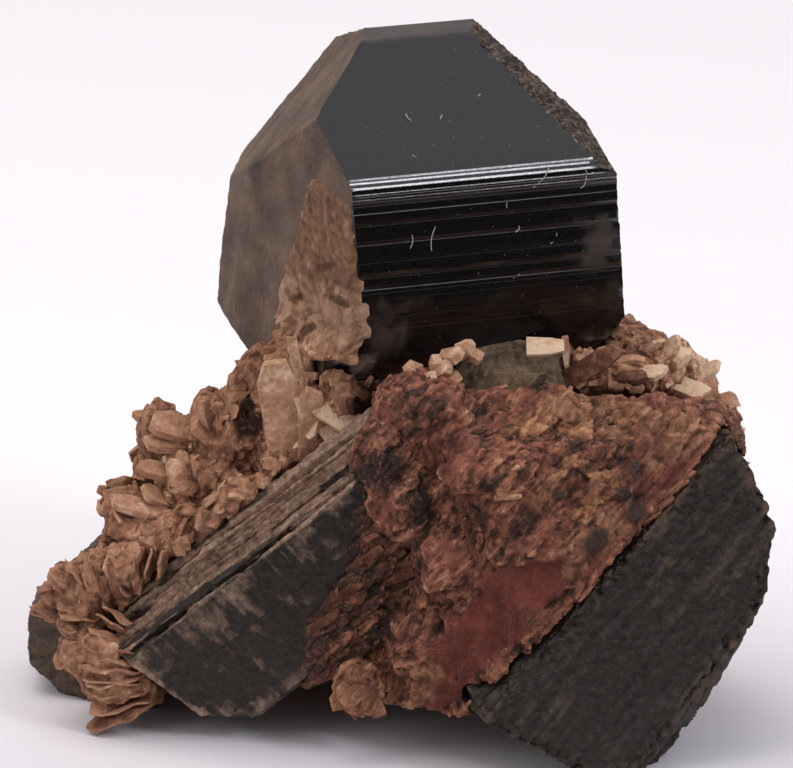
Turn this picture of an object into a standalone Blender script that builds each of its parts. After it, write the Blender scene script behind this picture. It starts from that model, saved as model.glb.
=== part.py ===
"""Amphibole specimen: black striated amphibole crystals grown with tan and red feldspar.

Every size below is in millimetres and is turned into metres when a piece is made.
+Z is up, -Y is the side with the big lustrous prism face, and Z = 0 is the surface the specimen
rests on: the flat broken underside of the matrix, with the foot of the right crystal beside it.

A direction is given as an azimuth and an elevation in degrees. Azimuth 0 looks out of the front
(-Y), 90 is +X, -90 is -X and 180 is the back; elevation 90 is straight up.
"""

import math
import random

import bmesh
import bpy
from mathutils import Matrix, Vector

# ---------------------------------------------------------------------------------------------
# Driving dimensions, mm
# ---------------------------------------------------------------------------------------------
MM = 0.001                  # one millimetre in the scene's metres
ORIGIN = (-0.034, 1.207, 0.0)   # centre of the whole underside, which becomes the row's origin
GAP = 0.3                   # left between neighbouring pieces
STOCK = 120.0               # side of the block that crystals and lumps are cut from
SMALLEST_EDGE = 0.004       # shorter edges that a cut leaves are closed up
GOLDEN_ANGLE = math.pi * (3.0 - math.sqrt(5.0))

# A prism's faces lie round its long axis: (angle, distance). Angle 0 is the side of the axis that
# looks to the front, 90 is its upper side; distance is from the axis to the face. Hornblende's
# prism faces stand 62, 28, 28 and 62 degrees from one another.
MAIN_CENTRE = (3.0, 3.0, 34.0)
MAIN_AXIS = (22.0, 0.0)     # turned to the back on the right, and level
MAIN_SIDES = [(-90, 13.4), (-48, 12.4), (-8, 8.0), (50, 5.4), (78, 7.0), (106, 7.75), (168, 9.6),
              (228, 15.4)]
MAIN_LEDGES = {-8: (9, 0.14), 50: (4, 0.06)}     # per side: how many growth ledges, how deep
MAIN_HALF_LENGTH = 24.0
MAIN_ENDS = [               # azimuth, elevation, distance from the centre
    (-61, -3, 10.2),        # termination face, dull and dusty
    (-40, -11, 11.8),       # narrow facet beside the front face
    (-88, 39, 8.5),         # upper left band
    (-71, 1, 11.0),         # left band
    (-104, 10, 13.0),       # left end of the back
    (-82, -36, 16.9),       # lower left, going down into the matrix
    (70, 53, 6.4),          # etched bevel at the upper right
    (104, 46, 6.9),         # its turn to the back
    (110, 7, 7.8),          # right end
    (95, -40, 14.0),        # lower right
]
MAIN_PITS = [(5.5, 2.8, 40.1, 0.8), (7.5, 0.5, 38.0, 0.55), (9.2, -1.2, 36.3, 0.5)]

FRONT_ORIGIN = (-15.77, -7.0, 5.25)     # left end of the edge between the two front faces
FRONT_AXIS = (-13.3, 39.8)              # runs to the right, a little to the front, and up
FRONT_SIDES = [(-70, 6.3), (-12, 0.0), (52, 0.0), (112, 4.3), (172, 6.2), (232, 7.2)]
FRONT_LEDGES = {52: (7, 0.4)}
FRONT_HALF_LENGTH = 30.0
FRONT_ENDS = [
    (-75, -51, 0.3),        # thin brown left end
    (0, -88, 3.6),          # worn lower corner
    (78, 38, 21.0),         # right end, inside the red feldspar
]

RIGHT_CENTRE = (14.0, -9.0, 9.5)
RIGHT_FACES = [
    (19.5, 7.5, 2.86),      # broad front face
    (199, -4, 5.3),         # broad back face
    (-57, 47, 3.9),         # upper left, under the red feldspar
    (180, 70, 10.0),        # top, going down behind the red feldspar
    (105, 27, 9.65),        # upper right
    (105, 16, 9.1),
    (105, -10, 7.4),        # right
    (105, -28, 6.45),       # lower right
    (100, -36, 7.2),
    (95, -46, 7.8),         # lower right corner
    (57, -26, 6.2),         # narrow facet along the lower right edge
    (-70, -58, 10.2),       # lower left
    (-80, -15, 11.0),       # left, inside the red feldspar
    (0, -90, 9.5),          # foot, on the surface
]

BACK_CENTRE = (-18.6, 5.2, 4.1)
BACK_FACES = [
    (-20, 12, 3.0), (160, 5, 3.2), (-95, 45, 3.1), (-92, 0, 3.8), (-85, -45, 4.4),
    (90, 0, 4.1), (0, 80, 4.2), (0, -90, 4.1), (-40, -30, 4.6),
]

SMALL_CENTRE = (-14.8, 5.6, 11.6)
SMALL_FACES = [
    (-30, 30, 1.3), (-110, 25, 1.6), (30, 50, 1.6), (150, 20, 1.5), (-60, 72, 2.1),
    (90, -10, 2.4), (0, -84, 1.9),
]

UNDER_CENTRE = (7.3, -4.9, 21.4)
UNDER_FACES = [
    (-4, 14, 1.7), (176, 0, 2.4), (-70, 30, 2.7), (0, 74, 1.6), (66, 24, 2.6), (30, 48, 2.0),
    (72, -30, 2.9), (-70, -30, 2.9), (0, -88, 2.6),
]

# Lumps of rock: x, y, z, three radii, and a turn about Z.
TAN_LUMPS = [
    (0.0, 9.6, 4.6, 13.5, 6.0, 7.4, 6),         # back base
    (-10.6, 6.2, 6.0, 6.6, 6.0, 7.6, -15),      # left base
    (11.0, 6.5, 6.0, 7.6, 8.0, 8.0, 20),        # right base
    (2.0, 4.5, 15.0, 11.5, 8.0, 8.5, 5),        # under the main crystal
    (-10.0, 2.8, 12.8, 6.3, 4.8, 5.0, -30),     # left shoulder
    (-4.6, 0.4, 17.4, 4.2, 4.2, 5.0, 15),       # below the columns
    (13.0, 3.4, 16.0, 6.2, 6.6, 6.8, -10),      # right shoulder
    (17.0, 0.6, 13.4, 3.8, 5.2, 6.8, 0),        # right flank
    (1.0, 10.6, 13.6, 9.4, 5.2, 6.4, -6),       # back, below the main crystal
    (-14.0, 0.0, 8.6, 4.6, 4.2, 4.4, 10),       # behind the front prism
    (-17.0, -1.6, 7.0, 2.8, 2.6, 3.8, 0),       # behind the blades
    (-16.2, -1.6, 3.6, 3.4, 2.8, 2.8, 0),       # under the blades
]
TAN_KNOBS = [                                    # smaller knobs and ledges
    (-4.8, -1.6, 25.0, 2.0, 1.6, 2.6, 0),       # crust foot on the termination
    (-5.0, -1.0, 21.6, 2.4, 2.0, 2.4, 20),
    (-5.2, 1.6, 22.0, 2.0, 2.4, 2.4, 0),
    (-2.4, -3.8, 21.6, 1.8, 1.8, 1.9, 40),
    (12.6, -3.4, 21.6, 2.8, 2.4, 1.1, 10),      # ledge right of the main crystal
    (15.0, -1.2, 21.2, 2.6, 2.8, 2.0, 0),
    (13.8, 2.6, 21.6, 2.4, 2.6, 1.8, 0),
    (16.8, 2.0, 19.6, 2.4, 2.6, 2.2, 30),
    (18.4, 1.6, 17.2, 1.8, 2.6, 2.2, 0),
    (2.6, -6.2, 22.9, 2.2, 1.6, 1.4, 10),       # orange chips under the front face
    (0.9, -6.2, 22.3, 1.2, 1.3, 1.2, 0),
    (-12.0, -2.0, 11.4, 2.6, 2.6, 1.8, 0),
    (-9.0, -3.0, 13.4, 2.4, 2.2, 1.8, 15),
    (-15.2, -1.4, 11.6, 2.4, 2.0, 1.8, 0),
    (-6.0, -3.4, 15.6, 2.2, 2.0, 1.6, 0),
    (-9.8, 0.2, 17.0, 2.0, 1.8, 1.9, 0),        # dark lump between the fins
    (-7.7, 1.4, 20.9, 1.1, 1.6, 1.8, 0),        # behind the arched blade
    (-9.0, 1.6, 18.6, 1.7, 1.6, 1.4, 0),
    (-19.0, -3.6, 4.4, 1.2, 1.3, 1.1, 0),       # knob between the blade rows
    (-16.2, -3.4, 2.2, 2.4, 2.0, 1.0, 0),       # under the lower row
    (-6.4, 13.4, 9.4, 4.6, 2.6, 2.2, 20),       # ledges on the back
    (3.6, 14.6, 6.2, 4.2, 2.2, 2.6, -8),
    (10.4, 12.2, 11.2, 3.4, 2.6, 2.4, -30),
    (-1.8, 12.0, 14.6, 4.4, 2.4, 2.0, 10),
    (-10.6, 10.0, 4.0, 3.0, 2.8, 2.6, 35),
    (14.6, 9.8, 5.4, 3.0, 2.6, 2.8, -40),
    (7.0, 10.8, 17.6, 3.2, 2.2, 1.8, -20),
    (16.6, 4.4, 10.6, 2.6, 3.0, 2.2, 0),
]

# Upright fins and columns: an outline of x, z, the y of the front, and the thickness.
TAN_PLATES = [
    ([(-15.7, 16.7), (-15.5, 17.9), (-14.8, 18.8), (-13.3, 18.1), (-12.0, 17.1), (-11.6, 13.0),
      (-14.9, 13.4)], 1.0, 2.6),
    ([(-12.2, 18.6), (-11.7, 19.5), (-10.8, 19.2), (-10.4, 15.0), (-12.2, 15.0)], 1.2, 2.2),
    ([(-7.9, 23.2), (-6.6, 23.8), (-6.0, 22.2), (-4.9, 18.7), (-5.8, 16.4), (-7.0, 16.8)], -3.6, 2.6),
    ([(-6.0, 22.6), (-5.2, 22.4), (-3.9, 19.2), (-4.4, 17.2), (-5.4, 17.6)], -4.4, 1.8),
    ([(-4.0, 20.8), (-2.2, 20.9), (-0.9, 19.4), (-2.4, 17.8), (-3.8, 18.0)], -5.2, 2.6),
    ([(-17.8, 13.6), (-16.4, 14.2), (-13.4, 12.8), (-13.6, 9.8), (-17.2, 10.4)], -1.4, 2.8),
    ([(7.6, 25.0), (9.4, 25.3), (9.9, 24.0), (8.2, 23.6)], -6.4, 1.4),
]
ARCH = ((-7.0, 1.5, 19.3), 2.6, 88.0, 95.0, 1.5, 0.6)    # thin arched blade: centre, radius, arc

# A row of blades: the root of the middle blade, the direction it points, the direction in which
# the row is stacked, how many, their pitch, how far they fan out, length, width and thickness.
BLADE_FANS = [
    ((-17.0, -2.8, 8.6), (-45, 55), (80, 0), 5, 0.8, 40, 2.5, 2.4, 0.6),        # upright row
    ((-18.2, -3.2, 6.8), (-60, 5), (-30, 80), 4, 0.8, 60, 2.3, 2.4, 0.65),      # lobes
    ((-15.6, -4.0, 4.2), (-72, -2), (0, 86), 5, 0.62, 22, 3.3, 3.4, 0.5),       # lower stack
    ((-18.6, -2.4, 7.6), (-80, 12), (-20, 50), 3, 0.8, 36, 2.8, 2.1, 0.6),      # left tips
]

RED_CENTRE = (5.5, -7.0, 12.5)
RED_FACES = [                # the mass itself: broad fracture faces
    (19.5, 7.5, 7.0),       # front, flush with the right crystal
    (-33, -3, 5.1),         # front left, going back to the front prism
    (20, 62, 9.1),          # slope up to the ridge
    (0, 88, 10.2),          # ridge
    (180, 62, 7.9),         # slope down behind it
    (-85, 17, 7.3),         # left, against the front prism
    (-90, -33, 12.1),       # lower left
    (0, -86, 9.6),          # underside
    (90, 30, 15.8),         # right end of the ridge
    (90, -30, 10.6),        # over the right crystal's upper left face
    (180, 0, 5.5),          # back
]
RED_KNOBS = [                # steps and knobs on it
    (0.9, -8.6, 20.2, 2.6, 2.4, 3.4, 0),        # horn at the upper left
    (-0.4, -9.4, 18.2, 2.4, 2.2, 3.0, 0),       # over the end of the front prism
    (0.6, -10.4, 16.2, 2.4, 1.4, 2.6, 0),
    (2.4, -10.0, 21.6, 2.2, 1.6, 1.4, 10),
    (6.0, -12.7, 18.4, 3.6, 1.0, 1.3, 8),
    (8.6, -8.4, 20.8, 2.8, 2.0, 1.1, 0),
    (11.6, -10.9, 17.4, 3.8, 1.1, 1.2, 18),
    (15.4, -7.6, 20.0, 3.0, 1.6, 1.3, 15),
    (8.4, -12.8, 14.0, 3.8, 0.9, 1.2, 14),
    (3.2, -11.0, 12.8, 2.8, 1.1, 2.2, -25),
    (-2.3, -9.0, 4.2, 1.4, 1.6, 1.7, 0),
    (5.6, -12.6, 6.0, 2.0, 1.3, 2.4, -20),
    (1.4, -9.6, 7.4, 2.4, 1.0, 2.4, -30),
]
CRUST_CENTRE = (-5.2, -2.4, 28.5)
CRUST_FACES = [              # tan crust on the termination face of the main crystal
    (-61, -3, 1.0), (119, 3, 1.5), (22, -8, 5.1), (-151, 30, 1.8), (-30, 72, 5.6), (0, -80, 5.6),
    (-90, -20, 3.4),
]

# Colours (red, green, blue, linear) and roughness of the finishes.
BLACK_LUSTROUS = ((0.010, 0.010, 0.011), 0.22)
BLACK_STRIATED = ((0.022, 0.021, 0.018), 0.45)
BLACK_DULL = ((0.020, 0.020, 0.018), 0.62)
GREY_DULL = ((0.095, 0.090, 0.080), 0.70)
TAN_FELDSPAR = ((0.360, 0.225, 0.150), 0.80)
RED_FELDSPAR = ((0.300, 0.105, 0.085), 0.70)


# ---------------------------------------------------------------------------------------------
# Directions and cuts
# ---------------------------------------------------------------------------------------------
def direction(azimuth, elevation):
    """Unit vector for an azimuth and an elevation in degrees."""
    a, e = math.radians(azimuth), math.radians(elevation)
    return Vector((math.sin(a) * math.cos(e), -math.cos(a) * math.cos(e), math.sin(e)))


def stock(centre):
    """A plain block round the centre, to cut from."""
    bm = bmesh.new()
    bmesh.ops.create_cube(bm, size=STOCK, matrix=Matrix.Translation(centre))
    return bm


def cut(bm, point, normal):
    """Cut away what lies beyond the plane, and close the cut with one face."""
    whole = bm.verts[:] + bm.edges[:] + bm.faces[:]
    result = bmesh.ops.bisect_plane(bm, geom=whole, dist=1e-5, plane_co=point, plane_no=normal,
                                    clear_outer=True)
    rim = [item for item in result["geom_cut"] if isinstance(item, bmesh.types.BMEdge)]
    open_rim = [edge for edge in rim if edge.is_boundary]
    if open_rim:
        bmesh.ops.contextual_create(bm, geom=open_rim)
    return bm


def crystal(centre, faces, grow=0.0):
    """A crystal bounded by flat faces, each an azimuth, an elevation and a distance."""
    centre = Vector(centre)
    bm = stock(centre)
    for azimuth, elevation, distance in faces:
        normal = direction(azimuth, elevation)
        cut(bm, centre + normal * (distance + grow), normal)
    return bm


def lump(x, y, z, rx, ry, rz, turn, seed, facets=22, grow=0.0):
    """A broken lump: an ellipsoid's form cut by flat fractures, each at its own depth."""
    rng = random.Random(seed)
    centre, radii = Vector((x, y, z)), (rx, ry, rz)
    turned = Matrix.Rotation(math.radians(turn), 3, "Z")
    bm = stock(centre)
    for index in range(facets):
        height = 1.0 - 2.0 * (index + rng.uniform(0.2, 0.8)) / facets
        around = index * GOLDEN_ANGLE + rng.uniform(-0.3, 0.3)
        ring = math.sqrt(1.0 - height * height)
        local = Vector((ring * math.cos(around), ring * math.sin(around), height))
        reach = math.sqrt(sum((radius * part) ** 2 for radius, part in zip(radii, local)))
        normal = turned @ local
        cut(bm, centre + normal * (reach * rng.uniform(0.84, 1.0) + grow), normal)
    return bm


# ---------------------------------------------------------------------------------------------
# Long prisms with growth ledges
# ---------------------------------------------------------------------------------------------
def prism_frame(axis):
    """The prism's long axis, the direction it shows to the front, and its upper side."""
    azimuth, tilt = (math.radians(angle) for angle in axis)
    along = Vector((math.cos(azimuth) * math.cos(tilt), math.sin(azimuth) * math.cos(tilt),
                    math.sin(tilt)))
    out = along.cross(Vector((0, 0, 1))).normalized()
    return along, out, out.cross(along)


def profile(sides, ledges, grow):
    """Corners of the cross-section, with rows of shallow ledges on the sides that have them."""
    def meet(first, second):
        (a, p), (b, q) = first, second
        a, b = math.radians(a), math.radians(b)
        span = math.sin(b - a)
        return Vector(((p * math.sin(b) - q * math.sin(a)) / span,
                       (q * math.cos(a) - p * math.cos(b)) / span))

    rng = random.Random(len(sides))
    grown = [(angle, distance + grow) for angle, distance in sides]
    corners = []
    for index, (angle, _) in enumerate(grown):
        start = meet(grown[index - 1], grown[index])
        end = meet(grown[index], grown[(index + 1) % len(grown)])
        corners.append(start)
        count, depth = ledges.get(angle, (0, 0.0))
        inward = -Vector((math.cos(math.radians(angle)), math.sin(math.radians(angle))))
        for step in range(1, count):
            at = (step + rng.uniform(-0.32, 0.32)) / count
            corners.append(start.lerp(end, at))
            corners.append(start.lerp(end, at + 0.14 / count) + inward * depth * rng.uniform(0.45, 1.0))
    return corners


def prism(origin, axis, sides, half_length, ends, ledges, grow=0.0):
    """A bar with the prism's cross-section along its axis, cut by its end faces."""
    along, out, up = prism_frame(axis)
    origin = Vector(origin)
    bm = bmesh.new()
    ring = [bm.verts.new(origin - along * half_length + out * corner.x + up * corner.y)
            for corner in profile(sides, ledges, grow)]
    base = bm.faces.new(ring)
    grown = bmesh.ops.extrude_face_region(bm, geom=[base])
    far = [item for item in grown["geom"] if isinstance(item, bmesh.types.BMVert)]
    bmesh.ops.translate(bm, verts=far, vec=along * 2.0 * half_length)
    bmesh.ops.recalc_face_normals(bm, faces=bm.faces[:])
    for azimuth, elevation, distance in ends:
        normal = direction(azimuth, elevation)
        cut(bm, origin + normal * (distance + grow), normal)
    return bm


def main_crystal(ledges=MAIN_LEDGES, grow=0.0):
    return prism(MAIN_CENTRE, MAIN_AXIS, MAIN_SIDES, MAIN_HALF_LENGTH, MAIN_ENDS, ledges, grow)


def front_prism(ledges=FRONT_LEDGES, grow=0.0):
    return prism(FRONT_ORIGIN, FRONT_AXIS, FRONT_SIDES, FRONT_HALF_LENGTH, FRONT_ENDS, ledges, grow)


# ---------------------------------------------------------------------------------------------
# Plates and blades
# ---------------------------------------------------------------------------------------------
def plate(outline, front, thickness):
    """An upright plate: an outline in x and z, from the front y back, a little smaller behind."""
    bm = bmesh.new()
    ring = [bm.verts.new((x, front, z)) for x, z in outline]
    middle = sum((vert.co for vert in ring), Vector()) / len(ring)
    face = bm.faces.new(ring)
    grown = bmesh.ops.extrude_face_region(bm, geom=[face])
    back = [item for item in grown["geom"] if isinstance(item, bmesh.types.BMVert)]
    bmesh.ops.translate(bm, verts=back, vec=(0, thickness, 0))
    for vert in ring:
        vert.co = middle + (vert.co - middle) * 0.82
    bmesh.ops.recalc_face_normals(bm, faces=bm.faces[:])
    return bm


def blade(root, out, flat, length, width, thickness):
    """One feldspar blade: a thin leaf with a rounded end and a sharpened rim."""
    out = out.normalized()
    flat = (flat - out * flat.dot(out)).normalized()
    side = out.cross(flat)
    half = width / 2.0
    shape = [(-0.35, -0.8), (0.55, -1.0), (0.88, -0.62), (1.0, 0.0), (0.88, 0.62), (0.55, 1.0),
             (-0.35, 0.8)]
    bm = bmesh.new()
    ring = [bm.verts.new(root + out * length * x + side * half * y - flat * thickness / 2.0)
            for x, y in shape]
    face = bm.faces.new(ring)
    grown = bmesh.ops.extrude_face_region(bm, geom=[face])
    top = [item for item in grown["geom"] if isinstance(item, bmesh.types.BMVert)]
    bmesh.ops.translate(bm, verts=top, vec=flat * thickness)
    bmesh.ops.recalc_face_normals(bm, faces=bm.faces[:])
    return bm


def blade_fan(root, out, row, count, pitch, spread, length, width, thickness, seed):
    """A stacked row of blades that fan out from one root."""
    rng = random.Random(seed)
    root = Vector(root)
    middle = direction(*out)
    stacked = direction(*row)
    stacked = (stacked - middle * stacked.dot(middle)).normalized()
    hinge = middle.cross(stacked)
    blades = []
    for index in range(count):
        share = index / (count - 1.0) - 0.5
        turn = Matrix.Rotation(math.radians(share * spread + rng.uniform(-5, 5)), 3, hinge)
        place = root + stacked * share * (count - 1) * pitch
        blades.append(blade(place, turn @ middle, turn @ stacked, length * rng.uniform(0.85, 1.1),
                            width * rng.uniform(0.85, 1.1), thickness * rng.uniform(0.9, 1.2)))
    return blades


def arched_blade(centre, radius, start, sweep, width, thickness):
    """A thin blade bent round an axis that runs front to back."""
    centre = Vector(centre)
    outward = Vector((math.cos(math.radians(start)), 0, math.sin(math.radians(start))))
    bm = bmesh.new()
    section = [(radius, -width / 2), (radius + thickness, -width / 2),
               (radius + thickness, width / 2), (radius, width / 2)]
    ring = [bm.verts.new(centre + outward * r + Vector((0, y, 0))) for r, y in section]
    face = bm.faces.new(ring)
    bmesh.ops.spin(bm, geom=[face] + list(face.edges) + ring, cent=centre, axis=(0, -1, 0),
                   angle=math.radians(sweep), steps=5)
    bmesh.ops.contextual_create(bm, geom=[edge for edge in bm.edges if edge.is_boundary])
    bmesh.ops.recalc_face_normals(bm, faces=bm.faces[:])
    return bm


# ---------------------------------------------------------------------------------------------
# Joining, sockets and finishing
# ---------------------------------------------------------------------------------------------
def hold(bm, name, collection):
    """Park a solid in the scene for a Boolean; it is never part of the model."""
    mesh = bpy.data.meshes.new(name)
    bm.to_mesh(mesh)
    bm.free()
    holder = bpy.data.objects.new(name, mesh)
    holder.hide_render = True
    holder.display_type = "WIRE"
    collection.objects.link(holder)
    return holder


def combine(base, others, operation):
    """Union or difference of one solid with many."""
    if not others:
        return base
    bench = bpy.data.collections.new("bench")
    bpy.context.scene.collection.children.link(bench)
    tools = bpy.data.collections.new("tools")
    bpy.context.scene.collection.children.link(tools)
    body = hold(base, "body", bench)
    for index, other in enumerate(others):
        hold(other, f"tool_{index}", tools)
    boolean = body.modifiers.new(operation.lower(), "BOOLEAN")
    boolean.operation = operation
    boolean.solver = "EXACT"
    boolean.operand_type = "COLLECTION"
    boolean.collection = tools
    evaluated = body.evaluated_get(bpy.context.evaluated_depsgraph_get())
    mesh = bpy.data.meshes.new_from_object(evaluated)
    result = bmesh.new()
    result.from_mesh(mesh)
    bpy.data.meshes.remove(mesh)
    for group in (tools, bench):
        for holder in list(group.objects):
            old = holder.data
            bpy.data.objects.remove(holder)
            bpy.data.meshes.remove(old)
        bpy.data.collections.remove(group)
    return result


def fuse(solids):
    return combine(solids[0], solids[1:], "UNION")


def carve(solid, cutters):
    return combine(solid, cutters, "DIFFERENCE")


def largest_body(bm):
    """Keep the largest connected body and drop crumbs that a cut leaves loose."""
    unseen, bodies = set(bm.verts), []
    while unseen:
        seed = next(iter(unseen))
        front, found = [seed], {seed}
        while front:
            vert = front.pop()
            for edge in vert.link_edges:
                other = edge.other_vert(vert)
                if other not in found:
                    found.add(other)
                    front.append(other)
        unseen -= found
        bodies.append(found)
    keep = max(bodies, key=len)
    bmesh.ops.delete(bm, geom=[vert for vert in bm.verts if vert not in keep], context="VERTS")
    return bm


def material(name, finish):
    colour, roughness = finish
    made = bpy.data.materials.new(name)
    made.use_nodes = True
    shader = made.node_tree.nodes["Principled BSDF"]
    shader.inputs["Base Color"].default_value = (*colour, 1.0)
    shader.inputs["Roughness"].default_value = roughness
    shader.inputs["Metallic"].default_value = 0.0
    return made


def finish(name, bm, look):
    """Close up slivers, move to the row's origin in metres and put the piece in the scene."""
    bm = largest_body(bm)
    bmesh.ops.triangulate(bm, faces=bm.faces[:])
    bmesh.ops.dissolve_degenerate(bm, edges=bm.edges[:], dist=SMALLEST_EDGE)
    bmesh.ops.triangulate(bm, faces=bm.faces[:])
    bmesh.ops.translate(bm, verts=bm.verts[:], vec=-Vector(ORIGIN))
    bmesh.ops.transform(bm, matrix=Matrix.Scale(MM, 4), verts=bm.verts[:])
    mesh = bpy.data.meshes.new(name)
    bm.to_mesh(mesh)
    bm.free()
    mesh.materials.append(material(name, look))
    piece = bpy.data.objects.new(name, mesh)
    bpy.context.scene.collection.objects.link(piece)
    return piece


# ---------------------------------------------------------------------------------------------
# The pieces
# ---------------------------------------------------------------------------------------------
def rest_cut(bm):
    """The flat underside, on the surface the specimen rests on."""
    return cut(bm, Vector((0, 0, 0)), Vector((0, 0, -1)))


def right_crystal(grow=0.0):
    return crystal(RIGHT_CENTRE, RIGHT_FACES, grow)


def back_crystal(grow=0.0):
    return crystal(BACK_CENTRE, BACK_FACES, grow)


def small_crystal(grow=0.0):
    return crystal(SMALL_CENTRE, SMALL_FACES, grow)


def under_crystal(grow=0.0):
    return crystal(UNDER_CENTRE, UNDER_FACES, grow)


def red_solids(grow=0.0):
    knobs = [lump(*values, seed=100 + index, facets=16, grow=grow)
             for index, values in enumerate(RED_KNOBS)]
    return [crystal(RED_CENTRE, RED_FACES, grow)] + knobs


def tan_solids():
    solids = [lump(*values, seed=200 + index) for index, values in enumerate(TAN_LUMPS)]
    solids += [lump(*values, seed=300 + index, facets=14)
               for index, values in enumerate(TAN_KNOBS)]
    solids += [plate(outline, front, thickness) for outline, front, thickness in TAN_PLATES]
    solids.append(arched_blade(*ARCH))
    solids.append(crystal(CRUST_CENTRE, CRUST_FACES))
    for index, fan in enumerate(BLADE_FANS):
        solids += blade_fan(*fan, seed=400 + index)
    return [rest_cut(solid) for solid in solids]


def build():
    for leftover in list(bpy.data.objects):
        bpy.data.objects.remove(leftover)

    pits = [lump(x, y, z, r, r, r, 0, seed=10 + index, facets=10)
            for index, (x, y, z, r) in enumerate(MAIN_PITS)]
    finish("main_crystal", carve(main_crystal(), pits), BLACK_LUSTROUS)
    finish("front_prism", front_prism(), BLACK_STRIATED)
    finish("right_crystal", carve(right_crystal(), [front_prism({}, GAP)]), BLACK_DULL)
    finish("back_crystal", back_crystal(), BLACK_DULL)
    finish("small_crystal", small_crystal(), BLACK_DULL)
    finish("under_crystal", carve(under_crystal(), [main_crystal({}, GAP)]), GREY_DULL)

    crystals = [main_crystal({}, GAP), front_prism({}, GAP), right_crystal(GAP), under_crystal(GAP)]
    finish("red_feldspar", carve(fuse(red_solids()), crystals), RED_FELDSPAR)

    crystals = [main_crystal({}, GAP), front_prism({}, GAP), right_crystal(GAP),
                back_crystal(GAP), small_crystal(GAP), under_crystal(GAP)]
    finish("feldspar_matrix", carve(fuse(tan_solids()), crystals + red_solids(GAP)), TAN_FELDSPAR)


build()
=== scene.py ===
"""Amphibole specimen: the looks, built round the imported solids.

Black striated amphibole crystals stand on and in a rough matrix of tan bladed feldspar and red
fractured feldspar. Crystals are cut again from the same faces as their solids, with fine striae,
chips and dust. The rock is a fine skin over copies of the solids of the matrix.
"""
from functools import partial
from math import cos, hypot, pi, radians, sin
import random

import bmesh
import bpy
from mathutils import Matrix, Vector, noise
from mathutils.bvhtree import BVHTree


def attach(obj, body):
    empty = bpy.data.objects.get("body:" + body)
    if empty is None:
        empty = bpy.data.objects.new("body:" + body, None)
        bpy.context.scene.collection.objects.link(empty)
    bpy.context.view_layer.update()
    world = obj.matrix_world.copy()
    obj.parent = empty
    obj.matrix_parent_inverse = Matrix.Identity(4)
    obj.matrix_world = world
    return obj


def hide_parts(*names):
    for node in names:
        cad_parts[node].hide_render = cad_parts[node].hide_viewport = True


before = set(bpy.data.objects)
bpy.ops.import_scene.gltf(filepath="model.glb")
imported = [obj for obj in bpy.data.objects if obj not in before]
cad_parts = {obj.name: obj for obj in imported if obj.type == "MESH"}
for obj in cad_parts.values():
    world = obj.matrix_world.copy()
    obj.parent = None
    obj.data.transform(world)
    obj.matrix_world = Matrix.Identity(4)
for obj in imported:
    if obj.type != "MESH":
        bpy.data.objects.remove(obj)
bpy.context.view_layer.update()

scene = bpy.context.scene

# ----------------------------------------
# Camera: looks down by 15 degrees at the front, from about 45 cm, as for a small specimen.
# Lengths in this file are in millimetres, and MM turns them into the scene's metres. ORIGIN is
# where the part's origin lies in the crystals' own measurements below.
MM = 0.001
ORIGIN = Vector((-0.034, 1.207, 0.0))
CAMERA_DISTANCE = 450.0
CAMERA_DROP = 15.0           # degrees
AIM = Vector((0.0, 0.0, 20.35)) - ORIGIN
FRAME_WIDTH = 47.58          # seen at the aim's distance
SENSOR_WIDTH = 36.0

drop = radians(CAMERA_DROP)
towards_camera = Vector((0.0, -cos(drop), sin(drop)))
camera_data = bpy.data.cameras.new("camera")
camera_data.sensor_width = SENSOR_WIDTH
camera_data.lens = SENSOR_WIDTH * CAMERA_DISTANCE / FRAME_WIDTH
camera_data.clip_start = 10 * MM
camera = bpy.data.objects.new("camera", camera_data)
camera.location = (AIM + towards_camera * CAMERA_DISTANCE) * MM
camera.rotation_euler = towards_camera.to_track_quat("Z", "Y").to_euler()
scene.collection.objects.link(camera)
scene.camera = camera

# ----------------------------------------
# Studio: a pale floor, painted darker towards the front as painted shade, a bright room, a wide
# soft light overhead and a smaller one at the right.
# A dark card lies low in front, where only reflections see it: it keeps the big upright prism
# face black, as a dark table edge does.
def srgb(code):
    """A hex colour as linear red, green, blue and alpha."""
    parts = [int(code[i:i + 2], 16) / 255.0 for i in (1, 3, 5)]
    linear = [p / 12.92 if p <= 0.04045 else ((p + 0.055) / 1.055) ** 2.4 for p in parts]
    return (*linear, 1.0)


def add_node(tree, kind, inputs=(), stops=(), **settings):
    """Add a shader node, with its settings, its inputs and a ramp's stops.

    The inputs go by socket name or in the sockets' order. Each is a value, a hex colour, a socket
    to link, or a node whose first output to link.
    """
    made = tree.nodes.new("ShaderNode" + kind)
    for name, value in settings.items():
        setattr(made, name, value)
    for socket, value in inputs.items() if isinstance(inputs, dict) else enumerate(inputs):
        if isinstance(value, bpy.types.Node):
            value = value.outputs[0]
        if isinstance(value, bpy.types.NodeSocket):
            tree.links.new(value, made.inputs[socket])
        else:
            made.inputs[socket].default_value = srgb(value) if isinstance(value, str) else value
    for _ in stops[2:]:
        made.color_ramp.elements.new(1.0)
    for index, (position, colour) in enumerate(stops):
        made.color_ramp.elements[index].position = position
        made.color_ramp.elements[index].color = srgb(colour)
    return made


def blank_material(name):
    """A material without nodes, and a function that adds nodes to it."""
    made = bpy.data.materials.new(name)
    made.use_nodes = True
    made.node_tree.nodes.clear()
    return made, partial(add_node, made.node_tree)


def as_object(name, bm, materials=()):
    """Make a bmesh an object of the scene."""
    mesh = bpy.data.meshes.new(name)
    bm.to_mesh(mesh)
    bm.free()
    for material in materials:
        mesh.materials.append(material)
    made = bpy.data.objects.new(name, mesh)
    scene.collection.objects.link(made)
    return made


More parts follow.
